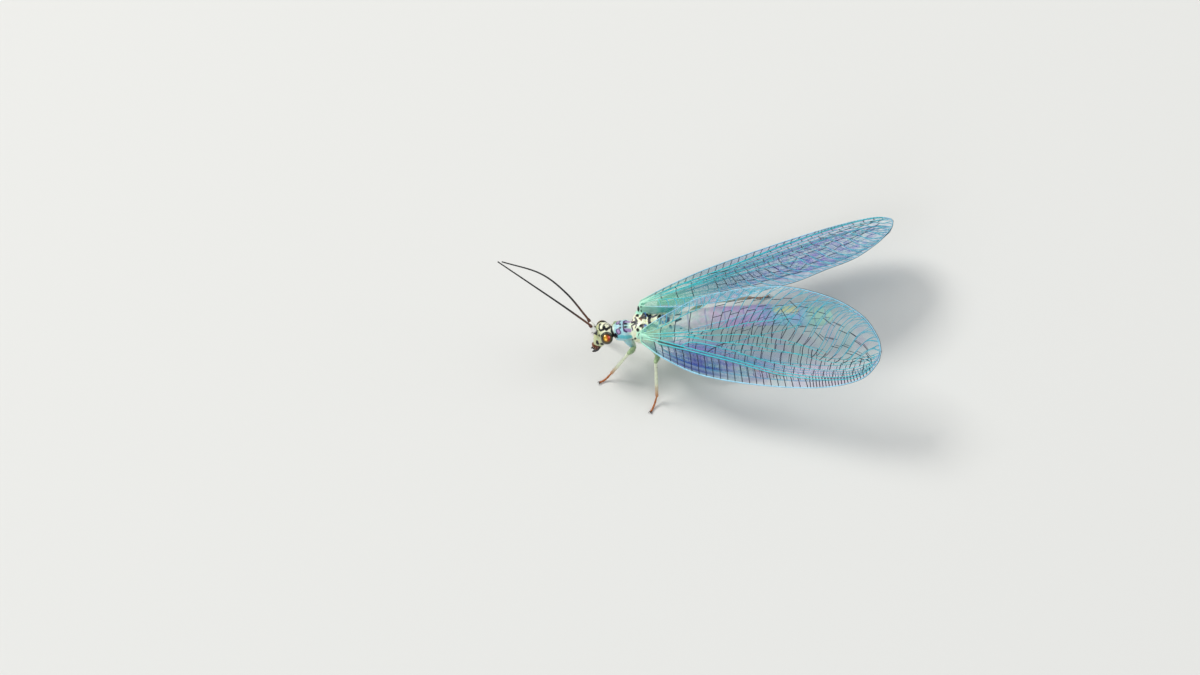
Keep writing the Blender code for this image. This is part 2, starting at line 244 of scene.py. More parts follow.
def tapered(name, line, radii, count, roundness=3):
    # a smooth rod whose radius runs evenly from the first to the last
    return limb(name, smoothRow(line, count), np.linspace(*radii, count), roundness)


def ball(name, centre, half, turn=None, columns=32, rows=20):
    obj = added(bpy.ops.mesh.primitive_uv_sphere_add, name, segments=columns, ring_count=rows, radius=1.0)
    obj.data.transform(Matrix.Translation(centre) @ (turn or Matrix()) @ Matrix.Diagonal((*half, 1.0)))
    return obj


def grid(name, columns, rows):
    # a flat net, with each vertex's share of its length and of its width
    obj = added(bpy.ops.mesh.primitive_grid_add, name, x_subdivisions=columns, y_subdivisions=rows, size=2.0)
    flat = pointsOf(obj)
    return obj, (flat[:, 0] + 1) / 2, (flat[:, 1] + 1) / 2


def joined(pieces, name):
    bpy.ops.object.select_all(action="DESELECT")
    for piece in pieces:
        piece.select_set(True)
    bpy.context.view_layer.objects.active = pieces[0]
    bpy.ops.object.join()
    obj = bpy.context.object
    obj.name = name
    return obj


def settle(obj, material, nodes=()):
    # millimetres to the frame's metres, material, smooth shading, and the frame's own calls
    obj.data.transform(Matrix.Translation(home) @ Matrix.Scale(mm, 4))
    obj.data.materials.clear()
    obj.data.materials.append(material)
    takeOnly(obj)
    bpy.ops.object.shade_smooth()
    obj.data.name = obj.name
    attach(obj, "root")
    if nodes:
        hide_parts(*nodes)


def addNode(material, kind, place, **inputs):
    node = material.node_tree.nodes.new(kind)
    node.location = place
    for name, value in inputs.items():
        node.inputs[name.replace("_", " ")].default_value = value
    return node


def newMaterial(name, grain=None, mottle=None, **sockets):
    # colour comes from the tint attribute; grain (bumps) and mottle (colour) are (scale, strength)
    material = bpy.data.materials.new(name)
    material.use_nodes = True
    link = material.node_tree.links.new
    shader = material.node_tree.nodes["Principled BSDF"]
    for socket, value in sockets.items():
        shader.inputs[socket.replace("_", " ")].default_value = value
    tint = addNode(material, "ShaderNodeAttribute", (-900, 300))
    tint.attribute_name = "tint"
    coords = addNode(material, "ShaderNodeTexCoord", (-1200, -100)).outputs["Object"]
    colour = tint.outputs["Color"]
    if mottle:
        scale, amount = mottle
        cloud = addNode(material, "ShaderNodeTexNoise", (-900, 0), Scale=scale, Detail=5.0)
        link(coords, cloud.inputs["Vector"])
        spread = addNode(material, "ShaderNodeMapRange", (-700, 0), From_Min=0.25, From_Max=0.75,
                         To_Min=1.0 - amount, To_Max=1.0 + amount)
        link(cloud.outputs["Fac"], spread.inputs["Value"])
        scaled = addNode(material, "ShaderNodeVectorMath", (-450, 200))
        scaled.operation = "SCALE"
        link(colour, scaled.inputs[0])
        link(spread.outputs["Result"], scaled.inputs["Scale"])
        colour = scaled.outputs["Vector"]
    link(colour, shader.inputs["Base Color"])
    if grain:
        scale, strength = grain
        bumps = addNode(material, "ShaderNodeTexNoise", (-900, -300), Scale=scale, Detail=4.0)
        link(coords, bumps.inputs["Vector"])
        addBump(material, bumps.outputs["Fac"], Strength=strength, Distance=0.00002)
    return material


def addBump(material, height, **inputs):
    bump = addNode(material, "ShaderNodeBump", (-450, -300), **inputs)
    material.node_tree.links.new(height, bump.inputs["Height"])
    shader = material.node_tree.nodes["Principled BSDF"]
    material.node_tree.links.new(bump.outputs["Normal"], shader.inputs["Normal"])
    return bump


# Wings' places come first, because the body's skin grows out to them
wingSets = {
    # hinge, then outward angle, rise and roof slope in degrees
    "left": {"side": 1, "hinge": (0.93, -0.10, 3.16), "set": (18.2, 9.0, 34.2), "droop": 0.0},
    "right": {"side": -1, "hinge": (-0.96, -0.10, 3.16), "set": (10.8, 1.5, 36.0), "droop": 0.40},
    "hindBelow": 0.34,
}


def wingAxes(spec):
    # along the wing, across it to the rear edge, and out of its upper face
    side = spec["side"]
    out, rising, roof = (math.radians(a) for a in spec["set"])
    flat = math.cos(rising)
    along = Vector((side * math.sin(out) * flat, math.cos(out) * flat, math.sin(rising)))
    level = along.cross(upright).normalized()
    level = -level if level.x * side > 0 else level
    up = level.cross(along)
    up = -up if up.z < 0 else up
    across = (math.cos(roof) * level + math.sin(roof) * up).normalized()
    outward = along.cross(across)
    outward = -outward if outward.z < 0 else outward
    return along, across, outward


def wingHinge(spec, kind):
    along, _, outward = wingAxes(spec)
    hinge = Vector(spec["hinge"])
    if kind == "hind":
        hinge = hinge + along - outward * wingSets["hindBelow"]
    return hinge


# Body: one skin over head, thorax and abdomen
trunk = {
    # y, half width, half height, x and z of each section, from the neck to the tail
    "sections": (
        (-1.92, 0.24, 0.22, 0.00, 2.46), (-1.70, 0.27, 0.25, 0.00, 2.46), (-1.60, 0.36, 0.31, 0.00, 2.46),
        (-1.48, 0.49, 0.39, 0.00, 2.45), (-1.18, 0.55, 0.45, 0.00, 2.43), (-0.98, 0.55, 0.46, 0.00, 2.41),
        (-0.84, 0.48, 0.41, 0.00, 2.40), (-0.74, 0.46, 0.40, 0.00, 2.38), (-0.62, 0.62, 0.54, 0.00, 2.37),
        (-0.48, 0.70, 0.62, 0.00, 2.36), (-0.20, 0.77, 0.68, 0.00, 2.34), (0.12, 0.79, 0.70, 0.00, 2.34),
        (0.34, 0.73, 0.65, 0.00, 2.36), (0.50, 0.60, 0.54, 0.00, 2.37), (0.62, 0.66, 0.57, 0.00, 2.38),
        (0.80, 0.71, 0.61, 0.00, 2.38), (1.04, 0.68, 0.58, 0.00, 2.40), (1.24, 0.54, 0.49, 0.00, 2.43),
        (1.38, 0.42, 0.42, 0.00, 2.45), (1.60, 0.43, 0.43, 0.00, 2.47), (2.20, 0.48, 0.48, 0.01, 2.52),
        (3.40, 0.52, 0.52, 0.04, 2.52), (4.80, 0.53, 0.53, 0.09, 2.34), (6.40, 0.53, 0.54, 0.13, 2.13),
        (7.80, 0.51, 0.53, 0.22, 1.82), (8.70, 0.44, 0.46, 0.29, 1.60), (9.12, 0.31, 0.33, 0.32, 1.49),
        (9.24, 0.17, 0.19, 0.33, 1.46), (9.29, 0.03, 0.03, 0.33, 1.45),
    ),
    # lumps under the skin as centre and half size, on both sides and then on the middle line
    "sideLumps": (
        ((0.32, -0.34, 2.68), (0.34, 0.28, 0.30)),
        ((0.34, 0.06, 2.66), (0.36, 0.30, 0.34)),
        ((0.28, 0.84, 2.64), (0.30, 0.26, 0.30)),
        ((0.68, -0.22, 2.74), (0.16, 0.26, 0.15)),
        ((0.60, 0.80, 2.62), (0.15, 0.22, 0.13)),
    ),
    "middleLumps": (
        ((0.0, 0.34, 2.84), (0.24, 0.20, 0.18)),
        ((0.0, 1.10, 2.78), (0.20, 0.15, 0.16)),
        ((0.0, -0.58, 2.74), (0.30, 0.14, 0.16)),
    ),
    "tailPlates": ((0.45, 9.10, 1.50), (0.21, 9.10, 1.50)),
    "tailPlateHalf": (0.13, 0.15, 0.20),
    # wing roots: places on the body, then along and across from the hinge, then first and last radius
    "wingRoots": {
        "fore": (((0.58, -0.18, 2.60), (0.78, -0.17, 2.92)), ((0.10, 0.02), (0.55, -0.10)), (0.20, 0.07)),
        "hind": (((0.52, 0.84, 2.46),), ((-0.10, -0.36), (0.35, -0.45)), (0.17, 0.06)),
    },
    "hipRadii": (0.24, 0.23, 0.19, 0.14),
    "voxel": 0.028,
    "smoothing": 5,
    "thorax": (-1.50, 1.42),
    "bellyStart": 1.40,
    "rings": (1.46, 2.25, 3.15, 4.10, 5.05, 6.00, 6.90, 7.75, 8.45, 8.98),
    "ringDepth": 0.035,
    "ringWidth": 0.035,
    "ringStep": 0.018,
    "sideFolds": (-0.30, -2.84),
    "sideFoldDepth": 0.030,
    "sideFoldWidth": 0.16,
    "backGroove": (0.0, 0.034, 0.035),  # place, depth and width, as the next one
    "neckGroove": (-1.14, 0.045, 0.045),
    # grooves on both sides of the thorax as line, depth and width
    "grooves": (
        (((0.50, -0.46, 2.86), (0.26, -0.12, 3.00), (0.0, 0.14, 3.04)), 0.040, 0.040),
        (((0.72, -0.55, 2.50), (0.78, -0.05, 2.20), (0.60, 0.05, 1.80)), 0.045, 0.045),
        (((0.66, 0.55, 2.52), (0.68, 0.90, 2.20), (0.52, 1.05, 1.85)), 0.045, 0.045),
        (((0.52, -1.42, 2.42), (0.56, -1.15, 2.34), (0.52, -0.90, 2.32)), 0.035, 0.045),
        (((0.40, 0.46, 2.86), (0.20, 0.18, 2.98), (0.0, 0.12, 3.02)), 0.035, 0.035),
    ),
    "grainScale": 4.0,
    "grainDepth": 0.010,
}
head = {
    "centre": (0.0, -2.08, 2.46),
    "half": (0.60, 0.43, 0.49),
    "turn": (-13.0, -23.0, 11.0),  # pitch, roll, yaw in degrees
    "faceTop": (0.0, -0.20, -0.22),
    "faceWay": (0.0, -0.50, -0.866),
    "faceRadii": {0.0: 0.40, 0.15: 0.37, 0.30: 0.31, 0.42: 0.25},
    "crown": ((0.0, -0.10, 0.34), (0.34, 0.30, 0.20)),
    "socket": ((0.19, -0.44, 0.21), (0.16, 0.13, 0.15)),
    "cheek": ((0.34, -0.20, -0.26), (0.20, 0.22, 0.20)),
    "cheekGroove": ((0.30, -0.50, 0.02), (0.30, -0.50, -0.30)),
    "browGroove": ((-0.26, -0.52, -0.28), (0.0, -0.62, -0.24), (0.26, -0.52, -0.28)),
    "grooveDepth": 0.022,
    "grooveWidth": 0.035,
}
eyes = {
    "place": (0.61, -0.02, 0.02),
    "radius": 0.300,
    "flatness": 0.94,
    "rightGlintWay": (-0.75, -0.35, 0.55),  # the way the painted highlight faces on the hidden eye
    "glint": (0.70, 0.22, 1.3),  # start, span and power of the painted highlight
    "goldAhead": (-0.10, 0.42),
    "bronzeSheenReach": (0.30, 0.30, 0.8),  # start, span and strength of the painted bronze sheen
    "facetScale": 42000.0,
}
legs = {
    # coxa top and hip, then knee, ankle and toe, as (outward, y, z)
    "roots": {
        "fore": ((0.30, -1.06, 2.10), (0.42, -0.84, 1.42)),
        "mid": ((0.46, -0.06, 1.80), (0.58, 0.10, 1.24)),
        "hind": ((0.44, 0.92, 1.90), (0.54, 1.04, 1.25)),
    },
    "reach": {
        "fore_left": ((1.33, -0.92, 2.35), (1.11, -2.23, 0.42), (1.33, -2.87, 0.17)),
        "mid_left": ((2.08, 0.43, 2.38), (2.82, 0.04, 0.42), (3.43, -0.34, 0.17)),
        "hind_left": ((1.80, 2.70, 1.02), (2.22, 5.45, 0.42), (2.36, 6.35, 0.17)),
        "fore_right": ((0.84, -1.66, 1.90), (1.25, -2.75, 0.42), (1.62, -3.12, 0.17)),
        "mid_right": ((1.78, 1.25, 1.62), (2.25, -0.15, 0.42), (2.62, -0.70, 0.17)),
        "hind_right": ((1.86, 2.60, 1.02), (2.18, 4.95, 0.42), (2.34, 5.75, 0.17)),
    },
    "coxaFrom": 0.3,
    "coxa": (0.17, 0.17, 0.15, 0.12),
    "ringTo": 0.10,
    "hipRing": (0.10, 0.115, 0.10),
    "femurFrom": 0.09,
    "femur": (0.085, 0.120, 0.140, 0.140, 0.125, 0.105),
    "bow": {"fore": 0.05, "mid": 0.16, "hind": 0.05},
    "tibia": (0.090, 0.072, 0.080, 0.088, 0.080, 0.078),
    "paleTibia": 0.60,
    "footHeights": {0.42: 0.19, 0.75: 0.085, 1.0: 0.075},
    "joints": (0.34, 0.16, 0.14, 0.12, 0.24),  # shares of the foot
    "footRadii": (0.70, 0.86, 1.05),
    "footRadius": 0.052,
    "footGap": 0.05,
    "pathSteps": 40,
    # claw's places as (forward, sideways, up)
    "claw": ((0.0, 0.0, 0.0), (0.07, 0.05, 0.015), (0.13, 0.08, -0.02), (0.14, 0.085, -0.065)),
    "clawRadii": (0.022, 0.006),
    "padPlace": (0.06, 0.035),
    "padHalf": (0.045, 0.045, 0.028),
}
headCentre = Vector(head["centre"])
pitch, roll, yaw = (math.radians(a) for a in head["turn"])
headTurn = Matrix.Rotation(yaw, 4, "Z") @ Matrix.Rotation(pitch, 4, "X") @ Matrix.Rotation(roll, 4, "Y")
fineSections = smoothRow(trunk["sections"], 200)


def onHead(point):
    return headCentre + headTurn.to_3x3() @ Vector(point)


def mirror(point, side):
    x, y, z = point
    return Vector((side * x, y, z))


def sectionAt(y):
    return [np.interp(y, fineSections[:, 0], fineSections[:, i]) for i in (1, 2, 3, 4)]


def trunkTube():
    spine = [(s[3], s[0], s[4]) for s in fineSections]
    obj = rods("trunk", [(spine, fineSections[:, 1])], 10)
    points = pointsOf(obj)
    wide, high, _, z = sectionAt(points[:, 1])
    points[:, 2] = z + (points[:, 2] - z) * high / np.maximum(wide, 0.01)
    setPoints(obj, points)
    return obj


def bodyLumps():
    # lobes of the back, wing roots and hips that the skin runs over
    lumps = []
    for word, side in (("right", -1), ("left", 1)):
        for centre, half in trunk["sideLumps"]:
            lumps.append(ball("lobe", mirror(centre, side), half))
        along, across = wingAxes(wingSets[word])[:2]
        for kind, (inner, outer, radii) in trunk["wingRoots"].items():
            hinge = wingHinge(wingSets[word], kind)
            line = [mirror(p, side) for p in inner] + [hinge + along * a + across * b for a, b in outer]
            lumps.append(tapered("wingRoot", line, radii, 12))
        for top, hip in legs["roots"].values():
            top = Vector((side * top[0] * 0.9, top[1], top[2] + 0.10))
            hip = Vector((side * hip[0], hip[1], hip[2] + 0.08))
            line = [top, top.lerp(hip, 0.4), top.lerp(hip, 0.8), hip]
            lumps.append(limb("hip", line, trunk["hipRadii"], 4))
        plate = trunk["tailPlates"][0 if side > 0 else 1]
        lumps.append(ball("tailPlate", plate, trunk["tailPlateHalf"]))
    for centre, half in trunk["middleLumps"]:
        lumps.append(ball("lobe", centre, half))
    return lumps


def headLumps():
    way = Vector(head["faceWay"])
    top = Vector(head["faceTop"])
    lumps = [ball("skull", headCentre, head["half"], headTurn, 48, 28)]
    line = [onHead(top + way * d) for d in head["faceRadii"]]
    lumps.append(limb("face", line, head["faceRadii"].values(), 6))
    centre, half = head["crown"]
    lumps.append(ball("crown", onHead(centre), half, headTurn))
    for side in (-1, 1):
        for name in ("socket", "cheek"):
            centre, half = head[name]
            lumps.append(ball(name, onHead(mirror(centre, side)), half, headTurn))
    return lumps


def makeSkin():
    obj = joined([trunkTube()] + bodyLumps() + headLumps(), "bodySkin")
    modify(obj, "REMESH", mode="VOXEL", voxel_size=trunk["voxel"])
    modify(obj, "SMOOTH", factor=0.5, iterations=trunk["smoothing"])
    return obj


def distanceTo(points, line):
    # shortest distance of every vertex to a line of points
    best = np.full(len(points), 1e9)
    line = [np.array(p, float) for p in line]
    if len(line) == 1:
        return np.linalg.norm(points - line[0], axis=1)
    for a, b in zip(line, line[1:]):
        run = b - a
        share = np.clip(((points - a) @ run) / max(run @ run, 1e-9), 0.0, 1.0)
        best = np.minimum(best, np.linalg.norm(points - a - share[:, None] * run, axis=1))
    return best


def noiseAt(points, scale, shift=(0.0, 0.0, 0.0)):
    return np.array([noise.noise(Vector(p) * scale + Vector(shift)) for p in points])


def roundBody(points):
    # each point's direction from the middle line, a quarter turn at the back's ridge
    wide, high, midX, midZ = sectionAt(points[:, 1])
    return np.arctan2((points[:, 2] - midZ) / high, (points[:, 0] - midX) / wide)


def carveSkin(obj):
    points = pointsOf(obj)
    y = points[:, 1]
    angle = roundBody(points)
    upward = np.clip(np.sin(angle) * 1.5, 0.0, 1.0)
    push = np.zeros(len(points))
    rings = trunk["rings"]
    belly = y > trunk["bellyStart"]
    for i, edge in enumerate(rings):
        push -= belly * trunk["ringDepth"] * hump(y, edge, trunk["ringWidth"])
        if i + 1 < len(rings):
            inside = (y >= edge) & (y < rings[i + 1])
            push += inside * trunk["ringStep"] * (y - edge) / (rings[i + 1] - edge)
    for fold in trunk["sideFolds"]:
        push -= belly * trunk["sideFoldDepth"] * hump(angle, fold, trunk["sideFoldWidth"])
    thorax = (y > trunk["thorax"][0]) & (y < trunk["thorax"][1])
    for values, (place, depth, width) in ((points[:, 0], trunk["backGroove"]), (y, trunk["neckGroove"])):
        push -= thorax * upward * depth * hump(values, place, width)
    headDepth, headWidth = head["grooveDepth"], head["grooveWidth"]
    for side in (-1, 1):
        for line, depth, width in trunk["grooves"]:
            gap = distanceTo(points, [mirror(p, side) for p in line])
            push -= thorax * depth * hump(gap, 0.0, width)
        cheek = [onHead(mirror(p, side)) for p in head["cheekGroove"]]
        push -= headDepth * hump(distanceTo(points, cheek), 0.0, headWidth)
    brow = [onHead(p) for p in head["browGroove"]]
    push -= headDepth * hump(distanceTo(points, brow), 0.0, headWidth)
    push += trunk["grainDepth"] * noiseAt(points, trunk["grainScale"])
    setPoints(obj, points + pointsOf(obj, "normal") * push[:, None])


print("shaping the body")
skin = makeSkin()
carveSkin(skin)
skinTree = BVHTree.FromObject(skin, bpy.context.evaluated_depsgraph_get())


def onSkin(place):
    # the point of the skin that shows at this place of the picture
    x, y = place
    px, py = view["aimPlace"]
    point = Vector(view["aim"]) + pictureRight * ((x - px) / view["placesPerMm"])
    point += pictureUp * ((py - y) / view["placesPerMm"])
    hit = skinTree.ray_cast(point + toCamera * 30.0, -toCamera)[0]
    return hit or skinTree.find_nearest(point + toCamera)[0]


def otherSide(point, part):
    if part == "head":
        local = headTurn.to_3x3().inverted() @ (point - headCentre)
        return skinTree.find_nearest(onHead(mirror(local, -1)))[0]
    return skinTree.find_nearest(mirror(point, -1))[0]


marks = {
    # colour, half width and line, both in places of the picture, and whether the other side has it too
    "head": (
        ("black", 1.2, ((609.6, 321.8), (611.6, 326.0), (611.5, 331.4), (613.9, 335.2), (616.0, 336.6)),
         True),
        ("black", 1.8, ((612.5, 339.6), (614.6, 337.0)), True),
        ("black", 0.9, ((599.4, 329.4), (600.0, 324.0), (604.0, 321.0), (608.8, 321.0)), False),
        ("cream", 0.9, ((601.0, 328.2), (601.6, 325.2), (604.7, 322.9)), False),
        ("black", 0.9, ((600.5, 330.4), (603.4, 329.6), (604.4, 326.6)), True),
        ("black", 1.0, ((599.3, 335.6),), True),
        ("black", 1.0, ((601.7, 336.0),), True),
        ("black", 1.6, ((597.4, 342.0), (597.6, 343.4)), True),
        ("black", 1.6, ((601.8, 344.4),), True),
        ("rust", 1.2, ((595.6, 346.2), (599.4, 347.0)), True),
    ),
    "trunk": (
        ("ink", 1.3, ((615.4, 334.4), (617.9, 336.9)), True),
        ("purple", 1.9, ((617.8, 330.6), (618.8, 332.6)), True),
        ("plum", 1.1, ((617.9, 330.8), (618.7, 332.2)), True),
        ("plum", 1.5, ((625.6, 330.0), (629.8, 330.4)), True),
        ("purple", 0.8, ((623.2, 326.2), (624.2, 330.8), (626.4, 331.8)), True),
        ("purple", 0.8, ((631.7, 326.6), (632.7, 330.0)), True),
        ("ink", 0.9, ((615.6, 320.9), (616.3, 320.5)), True),
        ("ink", 0.9, ((619.0, 319.5),), True),
        ("ink", 1.1, ((623.4, 319.8), (624.0, 318.4)), True),
        ("ink", 1.1, ((627.0, 316.6), (629.4, 315.4), (632.0, 314.4)), True),
        ("seaBlue", 1.7, ((619.6, 336.8), (626.0, 337.2), (630.6, 336.8)), True),
        ("black", 0.8, ((633.0, 339.4), (635.5, 338.4)), True),
        ("black", 1.4, ((637.5, 329.5), (638.6, 334.4)), True),
        ("ink", 0.8, ((636.2, 325.3), (635.3, 327.8)), True),
        ("black", 1.4, ((640.8, 326.0), (644.0, 324.8), (643.0, 327.6)), True),
        ("blue", 1.1, ((645.6, 325.6), (645.0, 331.0)), True),
        ("rust", 0.7, ((639.7, 318.3), (641.3, 320.0)), False),
        ("black", 1.4, ((641.9, 306.8),), False),
        ("black", 1.1, ((641.7, 310.5), (645.8, 310.9)), False),
        ("ink", 0.9, ((650.0, 313.0), (650.6, 315.5), (649.5, 317.1)), False),
        ("black", 1.2, ((654.0, 307.6),), False),
        ("ink", 1.4, ((649.1, 321.2), (650.2, 324.5), (647.8, 327.8)), True),
        ("purple", 1.3, ((652.4, 325.3), (656.5, 326.2)), True),
        ("black", 1.2, ((658.0, 320.6), (660.2, 319.8), (659.8, 323.4)), True),
        ("blue", 0.9, ((662.4, 321.6), (663.0, 323.4)), True),
        ("ink", 1.4, ((666.0, 316.9), (667.6, 318.2), (668.0, 320.4)), True),
        ("black", 1.1, ((670.1, 326.2), (670.6, 327.6)), True),
        ("ink", 0.9, ((680.6, 318.9), (675.8, 321.1)), True),
        ("ink", 1.1, ((680.8, 328.4),), True),
    ),
}
skinPaint = {
    # colours from head to tail, by y; on the abdomen the pink, lavender, lilac and pale blue are a painted
    # iridescent sheen in place of its own pale blue-green
    "stops": (
        (-2.6, "face"), (-2.30, "face"), (-2.00, "cream"), (-1.70, "cream"), (-1.50, "ice"), (-0.90, "ice"),
        (-0.66, "cream"), (0.40, "cream"), (0.60, "cream"), (1.40, "bone"), (1.60, "white"), (2.40, "white"),
        (3.40, "pinkSheen"), (4.40, "lavenderSheen"), (5.20, "lavenderSheen"), (6.10, "lilac"), (6.70, "paleBlueSheen"),
        (7.70, "paleBlueSheen"), (8.40, "paleMint"), (9.30, "paleMint"),
    ),
    "bellyCover": 0.75,
    "breastCover": 0.60,
    "cloudCover": 0.35,
    # a painted pale yellow highlight along the top of the abdomen near the tail: its line and reach
    "strawHighlightLine": ((0.10, 6.75, 2.65), (0.16, 7.55, 2.45)),
    "strawHighlightReach": 0.34,
    "ringCover": 0.45,
    # mint green at the wing roots: its start on the body and its reach
    "foreRoot": ((0.74, -0.17, 2.86), 0.34),
    "hindRoot": ((0.62, 0.84, 2.56), 0.30),
    "rootSoftness": 0.12,
    "eyeRim": 0.055,
    "feelerSpot": ((0.19, -0.52, 0.23), 0.19),
    "crownPlace": (607, 326),
    "crownRing": 0.215,
    "crownSpot": 0.150,
    "rimSoftness": 0.03,
    "markScale": 1.22,
    "markSoftness": 0.022,
    "markWobble": 0.015,
}


def paintSkin(obj):
    points = pointsOf(obj)
    y = points[:, 1]
    angle = roundBody(points)
    places = [stop[0] for stop in skinPaint["stops"]]
    shades = np.array([tone(stop[1]) for stop in skinPaint["stops"]])
    # colours by y, the abdomen's painted sheen among them
    colour = np.stack([np.interp(y, places, shades[:, i]) for i in range(3)], axis=1)
    drift = noiseAt(points, 2.2, (7.0, 3.0, 1.0))
    soft = skinPaint["rimSoftness"]

    def lay(amount, name):
        colour[:] = mix(colour, tone(name), np.clip(amount, 0.0, 1.0))

    under = rise(-np.sin(angle) + 0.2 * drift, 0.25, 0.45)
    belly = y > trunk["bellyStart"]
    lay(under * skinPaint["bellyCover"] * belly, "belly")
    lay(under * skinPaint["breastCover"] * ((y > -0.70) & ~belly), "paleMint")
    lay(skinPaint["cloudCover"] * hump(drift, 0.35, 0.15) * (y > -1.6), "mint")
    # painted yellow highlight on the top of the abdomen near the tail
    lay(fade(distanceTo(points, skinPaint["strawHighlightLine"]), skinPaint["strawHighlightReach"], 0.18) * 0.9, "straw")
    for edge in trunk["rings"][1:]:
        lay(skinPaint["ringCover"] * hump(y, edge, 0.03) * belly, "violet")
    for word, side in sides.items():
        along, across = wingAxes(wingSets[word])[:2]
        hinge = wingHinge(wingSets[word], "fore")
        start, reach = skinPaint["foreRoot"]
        line = [mirror(start, side), hinge, hinge + along * 0.6]
        lay(fade(distanceTo(points, line), reach, skinPaint["rootSoftness"]), "mint")
        start, reach = skinPaint["hindRoot"]
        line = [mirror(start, side), wingHinge(wingSets[word], "hind") - across * 0.36]
        lay(fade(distanceTo(points, line), reach, skinPaint["rootSoftness"]), "mint")
    for side in (-1, 1):
        gap = distanceTo(points, [onHead(mirror(eyes["place"], side))]) - eyes["radius"]
        lay(fade(gap, skinPaint["eyeRim"], soft), "black")
        place, reach = skinPaint["feelerSpot"]
        lay(fade(distanceTo(points, [onHead(mirror(place, side))]), reach, soft), "black")
    ring = distanceTo(points, [onSkin(skinPaint["crownPlace"])])
    lay(fade(ring, skinPaint["crownRing"], soft), "black")
    lay(fade(ring, skinPaint["crownSpot"], soft), "cream")
    for part, rows in marks.items():
        for name, width, line, both in rows:
            runs = [[onSkin(p) for p in line]]
            if both:
                runs.append([otherSide(p, part) for p in runs[0]])
            reach = width * skinPaint["markScale"] / view["placesPerMm"]
            for run in runs:
                gap = distanceTo(points, run) + skinPaint["markWobble"] * drift
                lay((reach - gap) / skinPaint["markSoftness"] + 0.5, name)
    paint(obj, colour)


paintSkin(skin)
skinFinish = newMaterial("waxySkin", (9000.0, 0.35), (5000.0, 0.10), Roughness=0.38, Coat_Weight=0.12,
                         Subsurface_Weight=0.08, Subsurface_Scale=0.0002)
settle(skin, skinFinish, ("head", "prothorax", "mesothorax", "metathorax", "abdomen"))


# Eyes: domes of fine facets, dark at the rim, with a painted highlight that is golden in front and copper
# behind, inside a painted bronze sheen; on the left eye they face the camera, on the right eye a set way
def eye(word, side):
    centre = onHead(mirror(eyes["place"], side))
    r = eyes["radius"]
    obj = ball("eye" + word.title(), centre, (r * eyes["flatness"], r, r), headTurn, 64, 40)
    out = (pointsOf(obj) - np.array(centre)) / r
    # look: the way that the painted highlight and sheen face
    look = np.array(toCamera if side > 0 else headTurn.to_3x3() @ Vector(eyes["rightGlintWay"]))
    facing = out @ (look / np.linalg.norm(look))
    ahead = out @ np.array(headTurn.to_3x3() @ Vector((0.0, -1.0, 0.0)))
    start, span, power = eyes["glint"]
    glint = mix(tone("copper"), tone("gold"), rise(ahead, *eyes["goldAhead"]))
    sheenStart, sheenSpan, sheenStrength = eyes["bronzeSheenReach"]
    # painted bronze sheen where the eye faces the look way, with the painted gold and copper highlight laid
    # over it
    dark = mix(tone("black"), tone("bronzeSheen"), rise(facing, sheenStart, sheenSpan) * sheenStrength)
    paint(obj, mix(dark, glint, rise(facing, start, span) ** power))
    settle(obj, eyeFinish, ("eye_" + word,))


eyeFinish = newMaterial("facetedEye", Roughness=0.16, Metallic=0.45, Coat_Weight=0.6)
facets = addNode(eyeFinish, "ShaderNodeTexVoronoi", (-700, -300), Scale=eyes["facetScale"], Randomness=0.25)
objectPlace = eyeFinish.node_tree.nodes["Texture Coordinate"].outputs["Object"]
eyeFinish.node_tree.links.new(objectPlace, facets.inputs["Vector"])
addBump(eyeFinish, facets.outputs["Distance"], Strength=0.35, Distance=0.00001).invert = True
print("eyes")
for word, side in sides.items():
    eye(word, side)


# Mouth: upper lip, two hooked jaws and two pairs of jointed palps
mouthParts = {
    "depth": 0.46,
    "lip": ((0.0, -0.20, 0.01268), (0.19, 0.09, 0.13)),
    "chin": ((0.0, 0.08, -0.03464), (0.16, 0.10, 0.14)),
    # places as (outward, back, down the face)
    "jaw": ((0.20, -0.02, 0.0), (0.21, -0.04, 0.11), (0.13, -0.06, 0.20), (0.01, -0.07, 0.23)),
    "jawRadii": (0.095, 0.025),
    "longPalp": ((0.20, 0.08, -0.02), (0.27, 0.05, 0.10), (0.25, 0.00, 0.20), (0.20, -0.07, 0.27),
                 (0.16, -0.15, 0.28)),
    "longRadii": (0.058, 0.060, 0.056, 0.050),
    "shortPalp": ((0.08, 0.10, 0.06), (0.10, 0.07, 0.18), (0.10, 0.01, 0.26), (0.08, -0.07, 0.30)),
    "shortRadii": (0.050, 0.048, 0.044),
    "palpProfile": {0.06: 0.72, 0.35: 0.95, 0.70: 1.0, 0.94: 0.86},  # place in a joint, share of its radius
}


def mouth():
    way = Vector(head["faceWay"])
    start = Vector(head["faceTop"]) + way * mouthParts["depth"]

    def placed(name, side):
        return [onHead(start + Vector((side * x, y, 0.0)) + way * down) for x, y, down in mouthParts[name]]

    centre, half = mouthParts["lip"]
    lip = ball("lip", onHead(start + Vector(centre)), half, headTurn, 24, 14)
    pieces = [paint(lip, tone("amber") * 0.42)]
    for side in (-1, 1):
        jaw = tapered("jaw", placed("jaw", side), mouthParts["jawRadii"], 12)
        pieces.append(paint(jaw, tone("rust") * 0.7))
        pieces += palp(placed("longPalp", side), mouthParts["longRadii"])
        pieces += palp(placed("shortPalp", side), mouthParts["shortRadii"])
    centre, half = mouthParts["chin"]
    chin = ball("chin", onHead(start + Vector(centre)), half, headTurn, 20, 12)
    pieces.append(paint(chin, tone("black")))
    settle(cleanUp(joined(pieces, "mouthParts")), hornFinish, ("mouthparts",))


